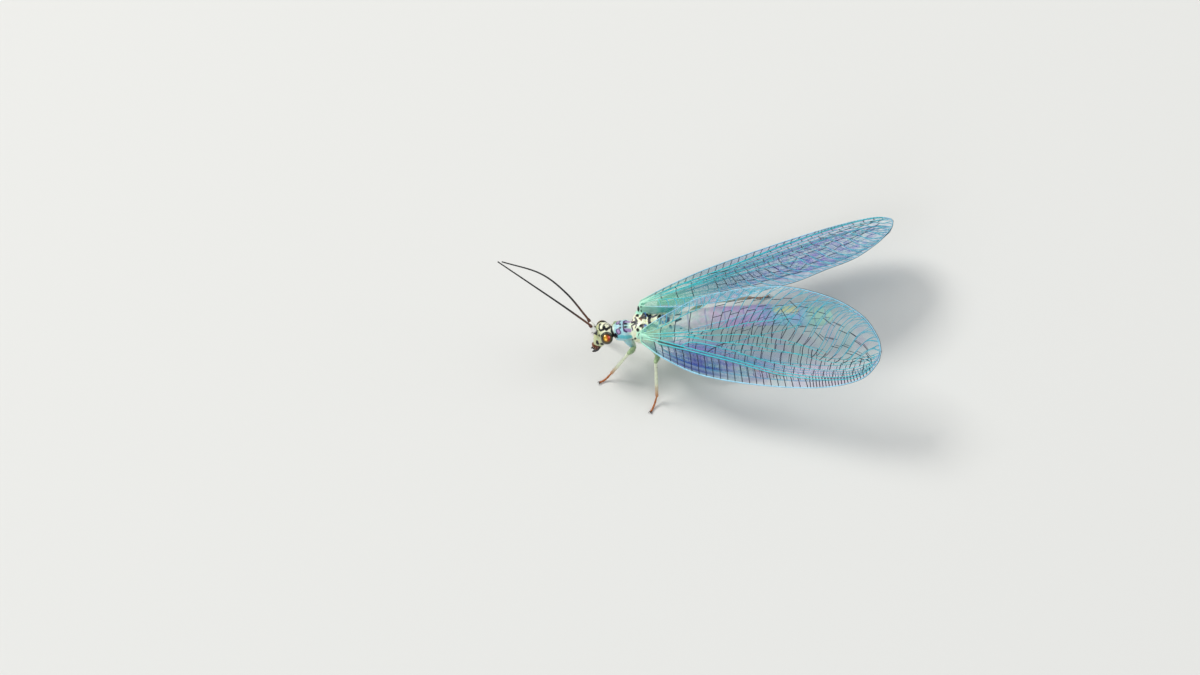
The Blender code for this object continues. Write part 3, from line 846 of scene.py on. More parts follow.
def palp(points, radii):
    profile = mouthParts["palpProfile"]
    made = []
    for a, b, r in zip(points, points[1:], radii):
        line = [a.lerp(b, share) for share in profile]
        joint = limb("palp", line, [r * part for part in profile.values()])
        made.append(paint(joint, tone("black")))
    return made


hornFinish = newMaterial("polishedHorn", (12000.0, 0.25), (8000.0, 0.15), Roughness=0.30, Coat_Weight=0.25)
print("mouth")
mouth()


# Feelers: thick white first joint, ring joint, then a long whip of short joints
feelers = {
    # places from the head's centre; the first gives the way of the first joint
    "left": ((-0.14, -0.73, 1.27), (-0.53, -1.69, 2.22), (-1.13, -2.98, 3.66), (-1.64, -4.24, 5.22)),
    "right": ((-0.67, -0.79, 0.71), (-1.33, -1.50, 2.03), (-1.88, -2.53, 3.27), (-2.01, -4.17, 4.60)),
    "root": (0.19, -0.50, 0.24),
    "sunk": 0.10,
    # distances from the sunk root, with their radii
    "first": {0.0: 0.085, 0.06: 0.105, 0.14: 0.122, 0.24: 0.128, 0.34: 0.122, 0.42: 0.100},
    "ring": {0.47: 0.072, 0.53: 0.086, 0.60: 0.088, 0.64: 0.070},
    "whipStart": 0.66,
    "whiteFrom": (0.20, 0.04),  # distance and softness, as the next one
    "brownTo": (1.4, 1.2),
    "joints": 82,
    "jointSteps": (0.80, 1.0, 1.05, 1.0),  # radius from groove to groove
    "rootRadius": 0.060,
    "tipRadius": 0.034,
}


def feeler(word, side):
    root = onHead(mirror(feelers["root"], side))
    way = (headCentre + Vector(feelers[word][0]) - root).normalized()
    inner = root - way * feelers["sunk"]

    def stub(name, roundness):
        line = [inner + way * d for d in feelers[name]]
        return limb(name, line, feelers[name].values(), roundness)

    scape = stub("first", 5)
    depth = (pointsOf(scape) - np.array(inner)) @ np.array(way)
    paint(scape, mix(tone("white"), tone("black"), fade(depth, *feelers["whiteFrom"])))
    ring = paint(stub("ring", 4), tone("rust") * 0.6)
    line = [inner + way * feelers["whipStart"]] + [headCentre + Vector(p) for p in feelers[word][1:]]
    steps = feelers["jointSteps"]
    count = feelers["joints"] * len(steps) + 1
    row = smoothRow(line, count)
    change = feelers["tipRadius"] - feelers["rootRadius"]
    radii = feelers["rootRadius"] + change * np.linspace(0.0, 1.0, count)
    radii = radii * np.array([steps[i % len(steps)] for i in range(count)])
    radii[-1] *= 0.4
    whip = rods("whip", [(row, radii)], 2)
    reach = np.linalg.norm(pointsOf(whip) - row[0], axis=1)
    paint(whip, mix(tone("black"), tone("amber") * 0.30, fade(reach, *feelers["brownTo"])))
    obj = cleanUp(joined([whip, ring, scape], "feeler" + word.title()))
    settle(obj, hornFinish, ("feeler_" + word, "scape_" + word))


print("feelers")
for word, side in sides.items():
    feeler(word, side)


# Legs: hip, femur, tibia and five foot joints with two claws and a pad
def leg(pair, word, side):
    places = legs["roots"][pair] + legs["reach"][pair + "_" + word]
    top, hip, knee, ankle, toe = [mirror(p, side) for p in places]
    pieces = []

    def joint(a, b, radii, start, end, roundness=4, steps=14, bow=0.0):
        row = smoothRow([a, a.lerp(b, 0.5) + Vector((0.0, bow, 0.0)), b], steps)
        profile = smoothRow([(r, 0.0) for r in radii], steps)[:, 0]
        rod = limb("joint", row, profile, roundness)
        run = np.array(b - a)
        share = np.clip(((pointsOf(rod) - np.array(a)) @ run) / (run @ run), 0, 1)
        pieces.append(paint(rod, mix(tone(start), tone(end), share)))

    joint(top.lerp(hip, legs["coxaFrom"]), hip, legs["coxa"], "paleMint", "bone")
    joint(hip, hip.lerp(knee, legs["ringTo"]), legs["hipRing"], "olive", "olive")
    joint(hip.lerp(knee, legs["femurFrom"]), knee, legs["femur"], "olive", "olive", bow=legs["bow"][pair])
    halfway = knee.lerp(ankle, legs["paleTibia"])
    joint(knee, halfway, legs["tibia"][:4], "bone", "bone")
    joint(halfway, ankle, legs["tibia"][3:], "bone", "orange")
    floorRow = [ankle]
    for share, height in legs["footHeights"].items():
        place = ankle.lerp(toe, share)
        floorRow.append(Vector((place.x, place.y, height)))
    steps = legs["pathSteps"]
    path = [Vector(p) for p in smoothRow(floorRow, steps + 1)]
    share = 0.0
    for length in legs["joints"]:
        a = path[int(share * steps)]
        share = min(share + length, 1.0)
        b = path[int(share * steps)]
        radii = [legs["footRadius"] * part for part in legs["footRadii"]]
        joint(a.lerp(b, legs["footGap"]), b, radii, "orange", "amber", 3, 8)
    end = path[-1]
    forward = (end - path[-5]).normalized()
    sideways = forward.cross(upright).normalized()
    for turn in (-1, 1):
        hook = [end + forward * a + sideways * turn * b + Vector((0, 0, c)) for a, b, c in legs["claw"]]
        claw = tapered("claw", hook, legs["clawRadii"], 10, 2)
        pieces.append(paint(claw, tone("black")))
    ahead, below = legs["padPlace"]
    pad = ball("pad", end + forward * ahead - upright * below, legs["padHalf"], None, 16, 10)
    pieces.append(paint(pad, tone("rust") * 0.5))
    obj = cleanUp(joined(pieces, "leg" + pair.title() + word.title()))
    hairSets.append(legHairs(obj, hip, knee, ankle, path, len(hairSets) + hair["legSeed"]))
    name = "leg_" + pair + "_" + word + "_"
    settle(obj, legFinish, [name + part for part in ("coxa", "femur", "tibia", "tarsus")])


# Hairs: one three-sided bristle, copied to every root
hair = {
    "sunk": 0.02,
    "legRadius": 0.0045,
    "bodyRadius": 0.0035,
    "wingRadius": 0.0035,
    "patch": 0.003,  # each bristle's size on the OFBake map
    "perLeg": 420,
    "legSeed": 11,
    "legLength": 0.095,
    "footLength": 0.055,
    "lowestRoot": 0.09,
    "bodySeed": 5,
    # from and to (by y), number, length and lean to the rear
    "bodyZones": (
        (-1.6, 1.45, 1500, 0.13, 0.35),
        (1.6, 99.0, 1500, 0.10, 1.0),
        (-99.0, -1.95, 260, 0.07, -0.2),
    ),
    "wingSeed": 9,
    # spacing and length of the fringe in front and behind
    "fringe": {"front": (0.085, 0.10), "rear": (0.060, 0.13)},
    "veinSpacing": {"sc": 0.16, "rs": 0.20, "psm": 0.20, "cu": 0.22},
    "veinLength": 0.085,
}


def hairs(name, rows, radius, colour):
    # rows hold roots, ways and lengths
    roots, ways, lengths = (np.concatenate([row[i] for row in rows]) for i in range(3))
    ways = unitRows(ways)
    pattern = added(bpy.ops.mesh.primitive_cone_add, "bristle", vertices=3, depth=1.0)
    shape = pointsOf(pattern)
    shape[:, 2] += 0.5
    faces = [tuple(f.vertices) for f in pattern.data.polygons]
    bpy.data.objects.remove(pattern)
    helper = np.where(np.abs(ways[:, 2:3]) < 0.9, np.array([[0.0, 0.0, 1.0]]), np.array([[1.0, 0.0, 0.0]]))
    sideA = unitRows(np.cross(helper, ways))
    sideB = np.cross(ways, sideA)
    sunk = roots - ways * hair["sunk"]
    points = (sunk[:, None, :] + sideA[:, None, :] * shape[None, :, 0:1] * radius
              + sideB[:, None, :] * shape[None, :, 1:2] * radius
              + ways[:, None, :] * shape[None, :, 2:3] * lengths[:, None, None])
    size = len(shape)
    allFaces = [tuple(i + k * size for i in face) for k in range(len(roots)) for face in faces]
    mesh = bpy.data.meshes.new(name)
    mesh.from_pydata(points.reshape(-1, 3).tolist(), [], allFaces)
    obj = bpy.data.objects.new(name, mesh)
    bpy.context.scene.collection.objects.link(obj)
    low, high = roots.min(axis=0), roots.max(axis=0)
    span = np.maximum(high - low, 1e-6)
    middle = (low + high) / 2
    turnShare = (np.arctan2(roots[:, 2] - middle[2], roots[:, 0] - middle[0]) / math.pi + 1) / 2
    spots = 0.02 + 0.95 * np.stack([(roots[:, 1] - low[1]) / span[1], turnShare], axis=1)
    layer = mesh.uv_layers.new(name="OFBake")
    corners = np.array([index for face in allFaces for index in face])
    patch = np.stack([shape[:, 0] * 0.5 + 0.5, shape[:, 2]], axis=1) * hair["patch"]
    layer.data.foreach_set("uv", (spots[corners // size] + patch[corners % size]).ravel())
    paint(obj, colour)
    settle(obj, hairFinish)


def legHairs(obj, hip, knee, ankle, path, seed):
    # short bristles that lean towards the foot
    points, normals = pointsOf(obj), pointsOf(obj, "normal")
    rng = np.random.default_rng(seed)
    chosen = rng.choice(len(points), size=min(hair["perLeg"], len(points)), replace=False)
    roots, out = points[chosen], normals[chosen]
    onFemur = (distanceTo(roots, [hip, knee]) < 0.17)[:, None]
    toFoot = np.where(onFemur, np.array(knee - hip) / (knee - hip).length,
                      np.array(ankle - knee) / (ankle - knee).length)
    foot = distanceTo(roots, path[::10]) < 0.08
    toFoot[foot] = np.array(path[-1] - path[0]) / (path[-1] - path[0]).length
    keep = roots[:, 2] > hair["lowestRoot"]
    lengths = np.where(foot, hair["footLength"], hair["legLength"]) * rng.uniform(0.7, 1.2, len(roots))
    return roots[keep], (out * 0.65 + toFoot * 0.85)[keep], lengths[keep]


def bodyHairs():
    # fine pale hairs on thorax, abdomen and face
    toBody = Matrix.Scale(1 / mm, 4) @ Matrix.Translation(-home)
    points = np.array([toBody @ v.co for v in skin.data.vertices])
    normals = pointsOf(skin, "normal")
    rng = np.random.default_rng(hair["bodySeed"])
    order = rng.permutation(len(points))
    rows = []
    for start, end, count, length, lean in hair["bodyZones"]:
        chosen = [i for i in order if start < points[i, 1] < end][:count]
        way = normals[chosen] + np.array([0.0, lean, 0.0])
        rows.append((points[chosen], way, length * rng.uniform(0.6, 1.2, len(chosen))))
    hairs("bodyHairs", rows, hair["bodyRadius"], tone("bone") * 0.75)


legFinish = newMaterial("legSkin", (12000.0, 0.30), (6000.0, 0.12), Roughness=0.42, Coat_Weight=0.10)
hairFinish = newMaterial("bristle", Roughness=0.45)
hairSets = []
print("legs")
for pair in legs["roots"]:
    for word, side in sides.items():
        leg(pair, word, side)
hairs("legHairs", hairSets, hair["legRadius"], tone("amber") * 0.5)
bodyHairs()


# Wings: thin clear sheets with raised veins
wingShape = {
    # edges as (along, across) from hinge to tip; across is negative in front
    "foreFront": ((0, -0.34), (1.4, -1.10), (3.5, -1.80), (6.8, -2.11), (10, -2.05), (12.1, -1.55),
                  (13, -0.75), (13.22, -0.10)),
    "foreRear": ((0, 0.30), (1.6, 1.25), (3.7, 2.20), (7.4, 2.80), (10.2, 2.45), (12.1, 1.62),
                 (13, 0.62), (13.22, -0.10)),
    "hindFront": ((0, -0.62), (1.2, -1.15), (3, -1.55), (6, -1.80), (9, -1.72), (11, -1.28),
                  (11.8, -0.60), (12, -0.05)),
    "hindRear": ((0, -0.10), (1.4, 0.35), (3.4, 0.95), (6.4, 1.80), (9, 2.15), (10.9, 1.50),
                 (11.8, 0.52), (12, -0.05)),
    "length": 13.22,
    "edgeCount": 240,
    "leastChord": 0.05,
    "camber": 0.15,
    "droopFrom": 0.55,
    "ripple": (0.025, 21.0),  # height and number of the pleats between the veins
    "wave": (0.06, 2.1, 0.7),  # height, number and shift of the waves at a drooping rear edge
    # lines on the body where the soft folds start, and how far out along the wing they end
    "foreFold": ((0.70, -0.30, 2.80), (0.56, 0.05, 2.92), (0.46, 0.45, 2.82), (0.40, 0.90, 2.86)),
    "hindFold": ((0.60, 0.66, 2.62), (0.48, 0.90, 2.78), (0.34, 1.25, 2.72), (0.34, 1.70, 2.74)),
    "foldReach": 1.7,
    "foldCover": {1: 0.45, -1: 1.0},
    "sheet": 0.012,
    "costaRadius": 0.040,
    "mainRadius": 0.032,
    "branchRadius": 0.021,
    "crossRadius": 0.021,
    "rootBarRadius": 0.026,
    "branchThin": {"fore": 1.0, "hind": 0.8},
    "crossThin": {"fore": 1.0, "hind": 0.75},
    "rimLine": (0.028, 0.014),  # dark line outside the tip: distance and radius
    # the vein round the root, as (along, part of front, part of rear, shift across, hind wing's shift)
    "rootEdge": ((0.28, 1, 0, -0.17, 0.06), (0.06, 1, 0, -0.02, 0.0), (0.0, 0.6, 0, 0.0, 0.0),
                 (0.0, 0, 0.5, 0.0, 0.0), (0.04, 0, 1, -0.02, 0.0), (0.22, 0, 1, 0.10, -0.06)),
}
tracks = {
    # main veins of the fore wing as (along, across)
    "sc": ((0.15, -0.16), (0.78, -0.23), (1.07, -0.34), (2.42, -0.55), (3.83, -0.80), (5.09, -1.02),
           (6.59, -1.33), (7.95, -1.55), (10.08, -1.66), (11.76, -1.50), (12.80, -0.95)),
    "r": ((0.15, -0.08), (0.90, -0.14), (2.42, -0.42), (3.83, -0.67), (5.09, -0.89), (6.59, -1.20),
          (7.95, -1.42), (10.08, -1.53), (11.76, -1.36), (12.85, -0.80)),
    "rs": ((2.30, -0.40), (2.70, -0.20), (3.20, -0.18), (3.92, -0.27), (5.19, -0.48), (6.01, -0.69),
           (7.14, -0.92), (8.35, -1.06), (10.06, -1.18), (11.60, -1.02), (13.00, -0.60)),
    "psm": ((2.60, 0.06), (3.60, -0.02), (4.32, -0.10), (5.20, -0.10), (6.20, -0.16), (7.20, -0.27),
            (8.20, -0.40), (9.19, -0.55), (10.05, -0.72), (11.2, -0.78), (12.2, -0.62), (13.15, -0.30)),
    "psc": ((2.60, 0.20), (3.60, 0.20), (4.69, 0.28), (5.60, 0.34), (6.60, 0.30), (7.60, 0.22),
            (8.50, 0.10), (9.30, -0.10), (10.2, -0.40)),
    "m": ((0.15, 0.00), (0.90, 0.02), (1.80, 0.06), (2.60, 0.10), (3.30, 0.06)),
    "cu": ((0.15, 0.07), (0.90, 0.14), (1.89, 0.24), (3.00, 0.34), (4.12, 0.52), (4.92, 0.66),
           (5.88, 0.92), (7.35, 1.15), (8.60, 1.45)),
    "a": ((0.15, 0.13), (0.80, 0.34), (1.60, 0.72), (2.50, 1.20), (3.40, 1.60), (4.10, 2.30)),
}
taper = {
    # each main vein's first and last radius, as shares of mainRadius
    "sc": (1.1, 0.7), "r": (1.1, 0.6), "rs": (0.9, 0.5), "psm": (0.8, 0.45),
    "psc": (0.75, 0.5), "m": (0.9, 0.8), "cu": (0.95, 0.6), "a": (0.8, 0.5),
}
ladders = (
    # cross veins: from, to, first, end, step, slant, bow, share of crossRadius, points
    ("sc", "front", 0.75, 9.3, 0.40, 0.14, 0.03, 1.0, 5),
    ("r", "front", 9.4, 12.75, 0.17, 0.05, 0.0, 1.15, 3),
    ("r", "rs", 3.1, 12.6, 0.54, 0.07, 0.02, 1.0, 5),
    ("rs", "psm", 4.55, 12.6, 0.54, 0.12, 0.05, 1.0, 5),
    ("psm", "psc", 3.0, 9.6, 0.50, 0.06, 0.04, 1.0, 5),
    ("psc", "cu", 2.8, 7.4, 0.56, 0.16, 0.06, 1.0, 5),
)
forks = {
    # forked veins of the rear edge; the root's plain ones as start, end and step
    "rootBranches": (0.9, 4.0, 0.42),
    "count": 21,
    "starts": (3.9, 12.5),
    "hosts": (("cu", 7.4), ("psc", 9.4), ("psm", 99.0)),  # the vein that each comes from, and to where
    "points": 49,
    "black": (7, 14),  # points that are dark at the wing's tip, and more at its root
    "splits": (36, 33),
    "prong": 0.013,
    "innerLadder": (14, 4),
    "outerLadder": (27, 3),
}


def makeWing(word, kind):
    spec = wingSets[word]
    along, across, outward = (np.array(a) for a in wingAxes(spec))
    hinge = np.array(spec["hinge"])
    if kind == "hind":
        hinge = hinge + along - outward * wingSets["hindBelow"]
    front, rear = (smoothRow(wingShape[kind + edge], wingShape["edgeCount"]) for edge in ("Front", "Rear"))
    droop = spec["droop"] if kind == "fore" else 0.0
    return {"name": kind + "Wing" + word.title(), "node": kind + "wing_" + word, "kind": kind,
            "side": spec["side"], "along": along, "across": across, "outward": outward, "hinge": hinge,
            "front": front, "rear": rear, "droop": droop, "scale": front[-1, 0] / wingShape["length"]}


def edgesAt(t, front, rear):
    # the front edge's place across the wing, and the wing's width
    lead = np.interp(t, front[:, 0], front[:, 1])
    trail = np.interp(t, rear[:, 0], rear[:, 1])
    return lead, trail - lead


def wingPlace(wing, t, q):
    # points of the wing's middle surface
    t, q = np.asarray(t, float), np.asarray(q, float)
    lead, chord = edgesAt(t, wing["front"], wing["rear"])
    chord = np.maximum(chord, wingShape["leastChord"])
    v = np.clip((q - lead) / chord, 0.0, 1.0)
    bend = wingShape["camber"] * 4 * v * (1 - v) * np.minimum(1.0, chord / 3)
    sag = np.maximum(0.0, v - wingShape["droopFrom"]) ** 2 / 0.2
    bend = bend - wing["droop"] * sag * np.minimum(1.0, chord / 4)
    height, number = wingShape["ripple"]
    bend = bend + height * np.sin(v * number) * np.minimum(1.0, t / 3.0) * np.minimum(1.0, chord / 2)
    if wing["droop"]:
        height, number, shift = wingShape["wave"]
        bend = bend + height * np.sin(t * number + shift) * np.maximum(0.0, v - 0.6)
    place = wing["hinge"] + t[:, None] * wing["along"] + q[:, None] * wing["across"]
    return place + bend[:, None] * wing["outward"]


fineTracks = {name: smoothRow(points, 160) for name, points in tracks.items()}
foreEdges = {edge: smoothRow(wingShape["fore" + edge.title()], wingShape["edgeCount"])
             for edge in ("front", "rear")}


def on(name, t):
    row = foreEdges[name] if name in foreEdges else fineTracks[name]
    return np.array([t, np.interp(t, row[:, 0], row[:, 1])])


def bar(a, b, bow=0.0, count=5):
    s = np.linspace(0, 1, count)[:, None]
    run = b - a
    return a + run * s + np.array([-run[1], run[0]]) * bow * 4 * s * (1 - s)


def arc(p0, p1, p2, p3, count):
    s = np.linspace(0, 1, count)[:, None]
    return p0 * (1 - s) ** 3 + 3 * p1 * s * (1 - s) ** 2 + 3 * p2 * s**2 * (1 - s) + p3 * s**3


def unit(x, y):
    return np.array([x, y]) / math.hypot(x, y)


def runAlong(row):
    # distance from the start of a row to each of its points
    return np.concatenate([[0.0], np.cumsum(np.linalg.norm(np.diff(row, axis=0), axis=1))])


def mainVeins():
    return [(row[::2], wingShape["mainRadius"] * np.linspace(*taper[name], len(row[::2])))
            for name, row in fineTracks.items()]


def crossVeins():
    cross = wingShape["crossRadius"]
    lines = []
    for start, end, first, stop, step, slant, bow, thick, count in ladders:
        for t in np.arange(first, stop, step):
            lines.append((bar(on(start, t), on(end, t + slant), bow, count), cross * thick))
    for t in (1.1, 1.9, 2.7):
        for start, end in (("m", "cu"), ("r", "m"), ("cu", "a")):
            lines.append((bar(on(start, t), on(end, t + 0.05)), cross))
    lines.append((smoothRow(((3.70, -0.68), (3.95, -0.50), (4.32, -0.30), (4.78, -0.12)), 9), cross * 1.1))
    lines.append((bar(np.array([1.0, -0.24]), np.array([2.45, -0.47])), wingShape["rootBarRadius"]))
    return lines


def venation():
    # all veins of the fore wing in its own plane, as pale and dark lines with their radii
    pale = mainVeins()
    dark = crossVeins()
    fine = wingShape["branchRadius"]
    cross = wingShape["crossRadius"]
    for t in np.arange(*forks["rootBranches"]):
        pale.append((bar(on("a", t), on("rear", t * 0.98 + 0.10), -0.08, 7), fine))
    edge = [p for p in foreEdges["rear"] if p[0] > 4.3]
    edge = np.array(edge + [p for p in foreEdges["front"][::-1] if p[0] > 12.75])
    run = runAlong(edge)
    count = forks["count"]
    prong = run[-1] * forks["prong"]

    def edgeAt(s):
        s = min(max(s, 0.0), run[-1])
        return np.array([np.interp(s, run, edge[:, 0]), np.interp(s, run, edge[:, 1])])

    rows = []
    for k, t in enumerate(np.linspace(*forks["starts"], count)):
        far = k / (count - 1)
        start = on(next(name for name, end in forks["hosts"] if t < end), t)
        end = run[-1] * (0.02 + 0.96 * far ** 0.92)
        target = edgeAt(end)
        length = np.linalg.norm(target - start)
        leave = unit(0.30 + 0.9 * far ** 2, 1.0 - 0.9 * far ** 1.5)
        arrive = unit(0.85 + 0.2 * far, 0.60 - 0.85 * far ** 1.4)
        bends = (start + leave * length * 0.36, target - arrive * length * 0.42)
        row = arc(start, *bends, target, forks["points"])
        rows.append(row)
        split = forks["splits"][k % 2]
        blackEnd = int(forks["black"][0] + forks["black"][1] * (1 - far) ** 2)
        dark.append((row[:blackEnd + 1], cross * 0.95))
        pale.append((row[blackEnd:split + 1], fine))
        for way in (-1, 1):
            tip = edgeAt(end + way * prong)
            fork = row[split]
            toward = row[split + 1] - row[split]
            toward = toward / np.linalg.norm(toward)
            reach = np.linalg.norm(tip - fork)
            bends = (fork + toward * reach * 0.4, tip - arrive * reach * 0.3)
            pale.append((arc(fork, *bends, tip, 8), fine * 0.85))
    for k, (a, b) in enumerate(zip(rows, rows[1:])):
        for first, stagger in (forks["innerLadder"], forks["outerLadder"]):
            place = first + stagger * (k % 2)
            dark.append((bar(a[place], b[place + 1]), cross * 0.8))
    return pale, dark


def fitWing(wing, line):
    # the same net in any wing: places keep their share of the length and of the chord
    t, q = line[:, 0], line[:, 1]
    if wing["kind"] == "fore":
        return t, q
    lead, chord = edgesAt(t, foreEdges["front"], foreEdges["rear"])
    v = (q - lead) / np.maximum(chord, wingShape["leastChord"])
    scaled = t * wing["scale"]
    lead, chord = edgesAt(scaled, wing["front"], wing["rear"])
    return scaled, lead + v * chord


# Painted iridescent sheen of the wing sheets: the violet, deep blue, blue, lavender, teal, steel and plum
# patches stand for the thin film's shifting colours
wingSheen = {
    # colour, cover, strength, (middle, width) across the wing or None, and the same along it
    "both": (
        ("leaf", 0.26, 0.9, None, (0.5, 0.8)),
        ("violet", 0.40, 0.95, (0.32, 0.11), (3.2, 1.9)),
        ("deepBlue", 0.60, 1.15, (0.09, 0.14), (2.9, 2.9)),
        ("blue", 0.32, 0.8, (0.22, 0.08), (6.6, 1.6)),
        ("lavenderSheen", 0.30, 0.8, (0.17, 0.07), (9.6, 2.4)),
        ("lavenderSheen", 0.28, 0.8, (0.03, 0.05), (10.4, 2.2)),
    ),
    "right": (
        ("teal", 0.40, 0.8, None, (4.0, 2.2)),
        ("leaf", 0.42, 0.9, None, (1.2, 1.7)),
    ),
    # grain of clouds and cells: number along a millimetre, number across the wing, layer
    "cloudGrain": (1.1, 7.0, 2.0),
    "cellGrain": (4.5, 16.0, 5.0),
    # colour, cover, strength and contrast of the drifting clouds
    "clouds": (("turquoise", 0.08, 0.7, 2.2), ("violet", 0.08, 0.7, -2.4)),
    # colour, cover, (middle, width) along the wing, base and contrast of the small cells
    "rightCells": (("steel", 0.44, (8.6, 4.4), 0.75, 1.0), ("violet", 0.38, (9.0, 3.2), 0.0, 2.5)),
    "rimCells": (("teal", 0.34, 3.0), ("plum", 0.32, -3.0)),
    "bareCover": 0.05,
    "hindCover": 0.55,
    "hindFadeIn": 1.2,
}


def paintWingSheen(wing, share, v, t):
    # colour and cover of the clear sheet: the thin film's shifting colours painted on as a fixed iridescent
    # sheen
    cloud, cell = (noiseAt(np.stack([t * a, v * b, np.full(len(t), c)], axis=1), 1.0)
                   for a, b, c in (wingSheen["cloudGrain"], wingSheen["cellGrain"]))
    colour = np.tile(tone("ice"), (len(t), 1))
    cover = np.full(len(t), wingSheen["bareCover"])

    def lay(amount, name, thick):
        amount = np.clip(amount, 0, 1)
        colour[:] = mix(colour, tone(name), amount)
        cover[:] = cover * (1 - amount) + thick * amount

    def layBands(bands):
        for name, thick, strength, across, along in bands:
            amount = hump(t, *along) * strength
            if across:
                amount = amount * hump(v, *across)
            if name == "deepBlue":
                amount = amount * (0.75 + 0.25 * np.sin(v * 190.0))
            lay(amount, name, thick)

    for name, thick, strength, contrast in wingSheen["clouds"]:
        lay(np.clip(cloud * contrast, 0, 1) * strength, name, thick)
    layBands(wingSheen["both"])
    if wing["side"] < 0:
        layBands(wingSheen["right"])
        for name, thick, along, base, contrast in wingSheen["rightCells"]:
            lay(hump(t, *along) * np.clip(base + cell * contrast, 0, 1), name, thick)
    rim = rise(v, 0.90, 0.10) + rise(share, 0.95, 0.05)
    for name, thick, contrast in wingSheen["rimCells"]:
        lay(rim * np.clip(cell * contrast, 0, 1), name, thick)
    if wing["kind"] == "hind":
        cover *= wingSheen["hindCover"] * rise(t, 0.0, wingSheen["hindFadeIn"])
    return np.hstack([colour, cover[:, None]])


def membrane(wing):
    obj, share, v = grid(wing["name"] + "Sheet", 150, 46)
    share = 1.0 - (1.0 - share) ** 1.6
    steps = np.linspace(0, 1, wingShape["edgeCount"])
    lead, trail = ([np.interp(share, steps, wing[edge][:, i]) for i in (0, 1)] for edge in ("front", "rear"))
    t, q = (a + (b - a) * v for a, b in zip(lead, trail))
    setPoints(obj, wingPlace(wing, t, q))
    # the sheet's colours are a painted iridescent sheen
    paint(obj, paintWingSheen(wing, share, v, t / wing["scale"]))
    cleanUp(obj, 0.002)
    modify(obj, "SOLIDIFY", thickness=wingShape["sheet"], offset=0.0)
    settle(obj, sheetFinish, (wing["node"],))


def wingFold(wing):
    # the soft skin between the side of the back and the inner edge of a wing
    count = 60
    bodyLine = smoothRow([mirror(p, wing["side"]) for p in wingShape[wing["kind"] + "Fold"]], count)
    t = np.linspace(0.05, wingShape["foldReach"], count)
    edge = np.interp(t, wing["rear"][:, 0], wing["rear"][:, 1])
    wingLine = wingPlace(wing, t, edge - 0.03)
    obj, share, v = grid(wing["name"] + "Fold", 48, 14)
    steps = np.linspace(0, 1, count)
    a, b = (np.stack([np.interp(share, steps, line[:, i]) for i in range(3)], axis=1)
            for line in (bodyLine, wingLine))
    points = a + (b - a) * v[:, None]
    points[:, 2] -= 0.10 * np.sin(v * math.pi) - 0.03 * np.sin(v * 14.0 + share * 5.0) * np.sin(v * math.pi)
    setPoints(obj, points)
    cover = (0.80 - 0.40 * share) * wingShape["foldCover"][wing["side"]]
    paint(obj, np.hstack([mix(tone("mint"), tone("turquoise"), share), cover[:, None]]))
    cleanUp(obj, 0.0002)
    modify(obj, "SOLIDIFY", thickness=wingShape["sheet"] * 1.5, offset=0.0)
    settle(obj, sheetFinish)


def inWing(wing, lines, thin=1.0):
    return [(wingPlace(wing, *fitWing(wing, line)), radius * thin) for line, radius in lines]


def paleVeins(wing, lines):
    front, rear = wing["front"][2:-1:3], wing["rear"][2::3]
    thick = wingShape["costaRadius"]
    root = []
    for along, frontPart, rearPart, shift, hindShift in wingShape["rootEdge"]:
        across = wing["front"][0, 1] * frontPart + wing["rear"][0, 1] * rearPart + shift
        root.append((along, across + (hindShift if wing["kind"] == "hind" else 0.0)))
    root = smoothRow(root, 24)
    edges = [(wingPlace(wing, *front.T), np.linspace(1.15, 0.65, len(front)) * thick),
             (wingPlace(wing, *rear.T), np.linspace(0.60, 0.65, len(rear)) * thick),
             (wingPlace(wing, *root.T), thick * 0.85)]
    main = inWing(wing, [line for line in lines if np.ndim(line[1])])
    thin = wingShape["branchThin"][wing["kind"]]
    branches = inWing(wing, [line for line in lines if not np.ndim(line[1])], thin)
    groups = [rods("edge", edges), rods("main", main), rods("branch", branches)]
    for group, name in zip(groups, ("costa", "turquoise", "paleVein")):
        # the veins turn mint green where they meet the body
        away = np.linalg.norm(pointsOf(group) - wing["hinge"], axis=1)
        paint(group, mix(tone(name), tone("mint"), fade(away, 1.5, 1.1)))
    settle(cleanUp(joined(groups, wing["name"] + "Veins"), 0.0002), veinFinish)


def darkVeins(wing, lines):
    placed = inWing(wing, lines, wingShape["crossThin"][wing["kind"]])
    rim = np.vstack([wing["front"][150:-1:2], wing["rear"][:90:-2]])
    ring = wingPlace(wing, *rim.T)
    away = unitRows(ring - wingPlace(wing, [9.0 * wing["scale"]], [0.2])[0])
    distance, radius = wingShape["rimLine"]
    placed.append((ring + away * distance, radius))
    obj = cleanUp(rods(wing["name"] + "CrossVeins", placed), 0.0002)
    settle(paint(obj, tone("ink")), crossFinish)


sheetFinish = newMaterial("clearWing", (3000.0, 0.15), Roughness=0.18, Thin_Film_Thickness=380.0,
                          Thin_Film_IOR=1.45)
sheetNodes = sheetFinish.node_tree.nodes
sheetFinish.node_tree.links.new(sheetNodes["Attribute"].outputs["Alpha"],
                                sheetNodes["Principled BSDF"].inputs["Alpha"])
veinFinish = newMaterial("paleVein", (9000.0, 0.15), (2500.0, 0.18), Roughness=0.35)
crossFinish = newMaterial("darkVein", (9000.0, 0.15), (2500.0, 0.10), Roughness=0.40)
print("wings")
paleLines, darkLines = venation()
wingList = []
for word in sides:
    for kind in ("fore", "hind"):
        wing = makeWing(word, kind)
        wingList.append(wing)
        membrane(wing)
        paleVeins(wing, paleLines)
        darkVeins(wing, darkLines)
        wingFold(wing)


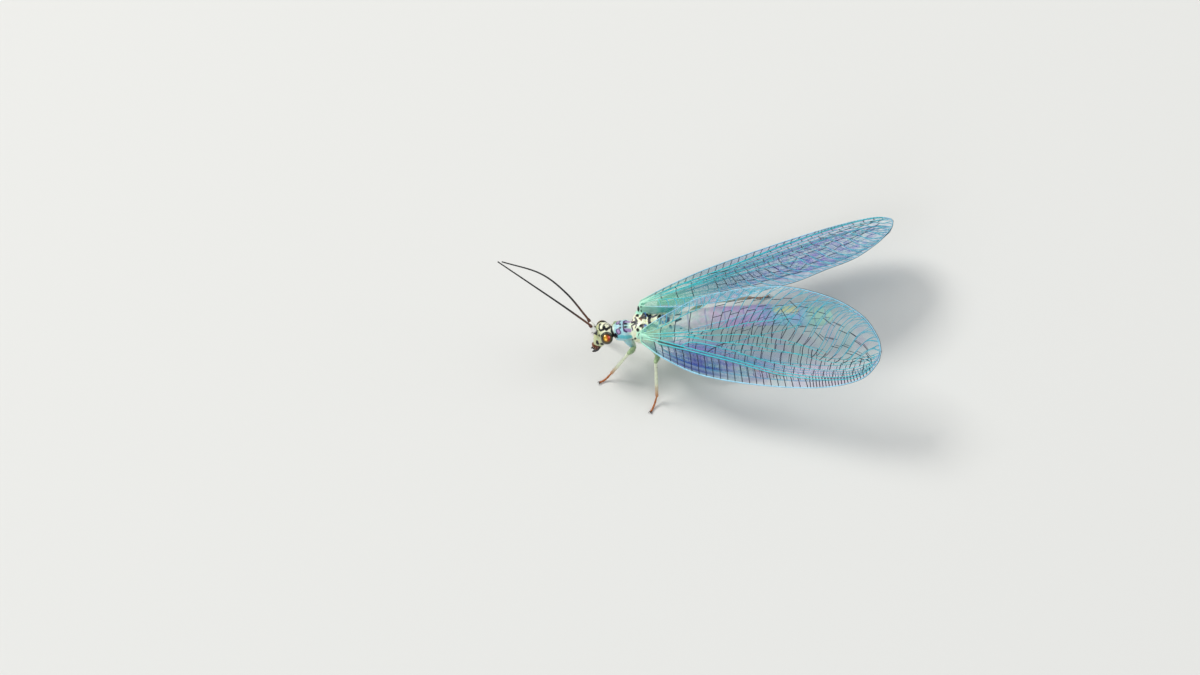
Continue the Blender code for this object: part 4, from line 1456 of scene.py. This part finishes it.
def wingHairs():
    # a fringe round every wing and short bristles along its veins
    rng = np.random.default_rng(hair["wingSeed"])
    rows = []
    for wing in wingList:
        middle = wingPlace(wing, [6.5 * wing["scale"]], [0.2])[0]
        for edge, (spacing, length) in hair["fringe"].items():
            row = wing[edge]
            run = runAlong(row)
            places = np.arange(0.3, run[-1], spacing)
            roots = wingPlace(wing, np.interp(places, run, row[:, 0]), np.interp(places, run, row[:, 1]))
            ahead = unitRows(np.gradient(roots, axis=0))
            out = roots - middle
            out = unitRows(out - ahead * np.sum(out * ahead, axis=1)[:, None])
            ways = out * 0.8 + ahead * 0.7 + rng.normal(0, 0.12, roots.shape)
            rows.append((roots, ways, length * rng.uniform(0.7, 1.2, len(roots))))
        for name, spacing in hair["veinSpacing"].items():
            t, q = fitWing(wing, fineTracks[name])
            places = np.arange(0.6, t[-1] - 0.2, spacing)
            roots = wingPlace(wing, places, np.interp(places, t, q)) + wing["outward"] * 0.02
            ways = wing["outward"] * 0.8 + wing["along"] * 0.6 + rng.normal(0, 0.15, roots.shape)
            rows.append((roots, ways, hair["veinLength"] * rng.uniform(0.7, 1.2, len(roots))))
    hairs("wingHairs", rows, hair["wingRadius"], tone("ink") * 1.5)


wingHairs()


# Studio: pale floor, soft light, camera at the angle of the picture
studio = {
    "floorSize": 0.6,
    "floorColour": (0.70, 0.70, 0.68),
    "floorRoughness": 0.85,
    "worldColour": (0.90, 0.93, 0.97),
    "worldStrength": 0.33,
    "lights": (
        # place, size, power, colour
        ((-0.22, -0.20, 0.38), 0.20, 1.75, (1.0, 0.98, 0.94)),
        ((0.34, -0.10, 0.26), 0.30, 0.65, (0.92, 0.96, 1.0)),
        ((0.02, 0.38, 0.24), 0.24, 0.55, (1.0, 1.0, 1.0)),
    ),
    "clip": (0.01, 5.0),
}


def makeStudio():
    floor = added(bpy.ops.mesh.primitive_plane_add, "studioFloor", size=studio["floorSize"])
    material = bpy.data.materials.new("paleFloor")
    material.use_nodes = True
    shader = material.node_tree.nodes["Principled BSDF"]
    shader.inputs["Base Color"].default_value = (*studio["floorColour"], 1.0)
    shader.inputs["Roughness"].default_value = studio["floorRoughness"]
    floor.data.materials.append(material)
    for place, size, power, colour in studio["lights"]:
        bpy.ops.object.light_add(type="AREA", location=place)
        light = bpy.context.object
        light.data.size = size
        light.data.energy = power
        light.data.color = colour
        light.rotation_euler = Vector(place).to_track_quat("Z", "Y").to_euler()
    world = bpy.context.scene.world or bpy.data.worlds.new("softSky")
    bpy.context.scene.world = world
    world.use_nodes = True
    sky = world.node_tree.nodes["Background"]
    sky.inputs["Color"].default_value = (*studio["worldColour"], 1.0)
    sky.inputs["Strength"].default_value = studio["worldStrength"]


def makeCamera():
    px, py = view["aimPlace"]
    wide, high = view["places"]
    centre = Vector(view["aim"]) + pictureRight * ((wide / 2 - px) / view["placesPerMm"])
    centre += pictureUp * ((py - high / 2) / view["placesPerMm"])
    camera = added(bpy.ops.object.camera_add, "pictureCamera")
    camera.data.lens = view["sensor"] * view["distance"] * view["placesPerMm"] / wide
    camera.data.sensor_width = view["sensor"]
    camera.data.clip_start, camera.data.clip_end = studio["clip"]
    place = (centre + toCamera * view["distance"]) * mm + home
    turn = Matrix((pictureRight, pictureUp, toCamera)).transposed()
    camera.matrix_world = Matrix.Translation(place) @ turn.to_4x4()
    bpy.context.scene.camera = camera


print("studio")
bpy.context.scene.view_settings.view_transform = "Standard"
makeStudio()
makeCamera()
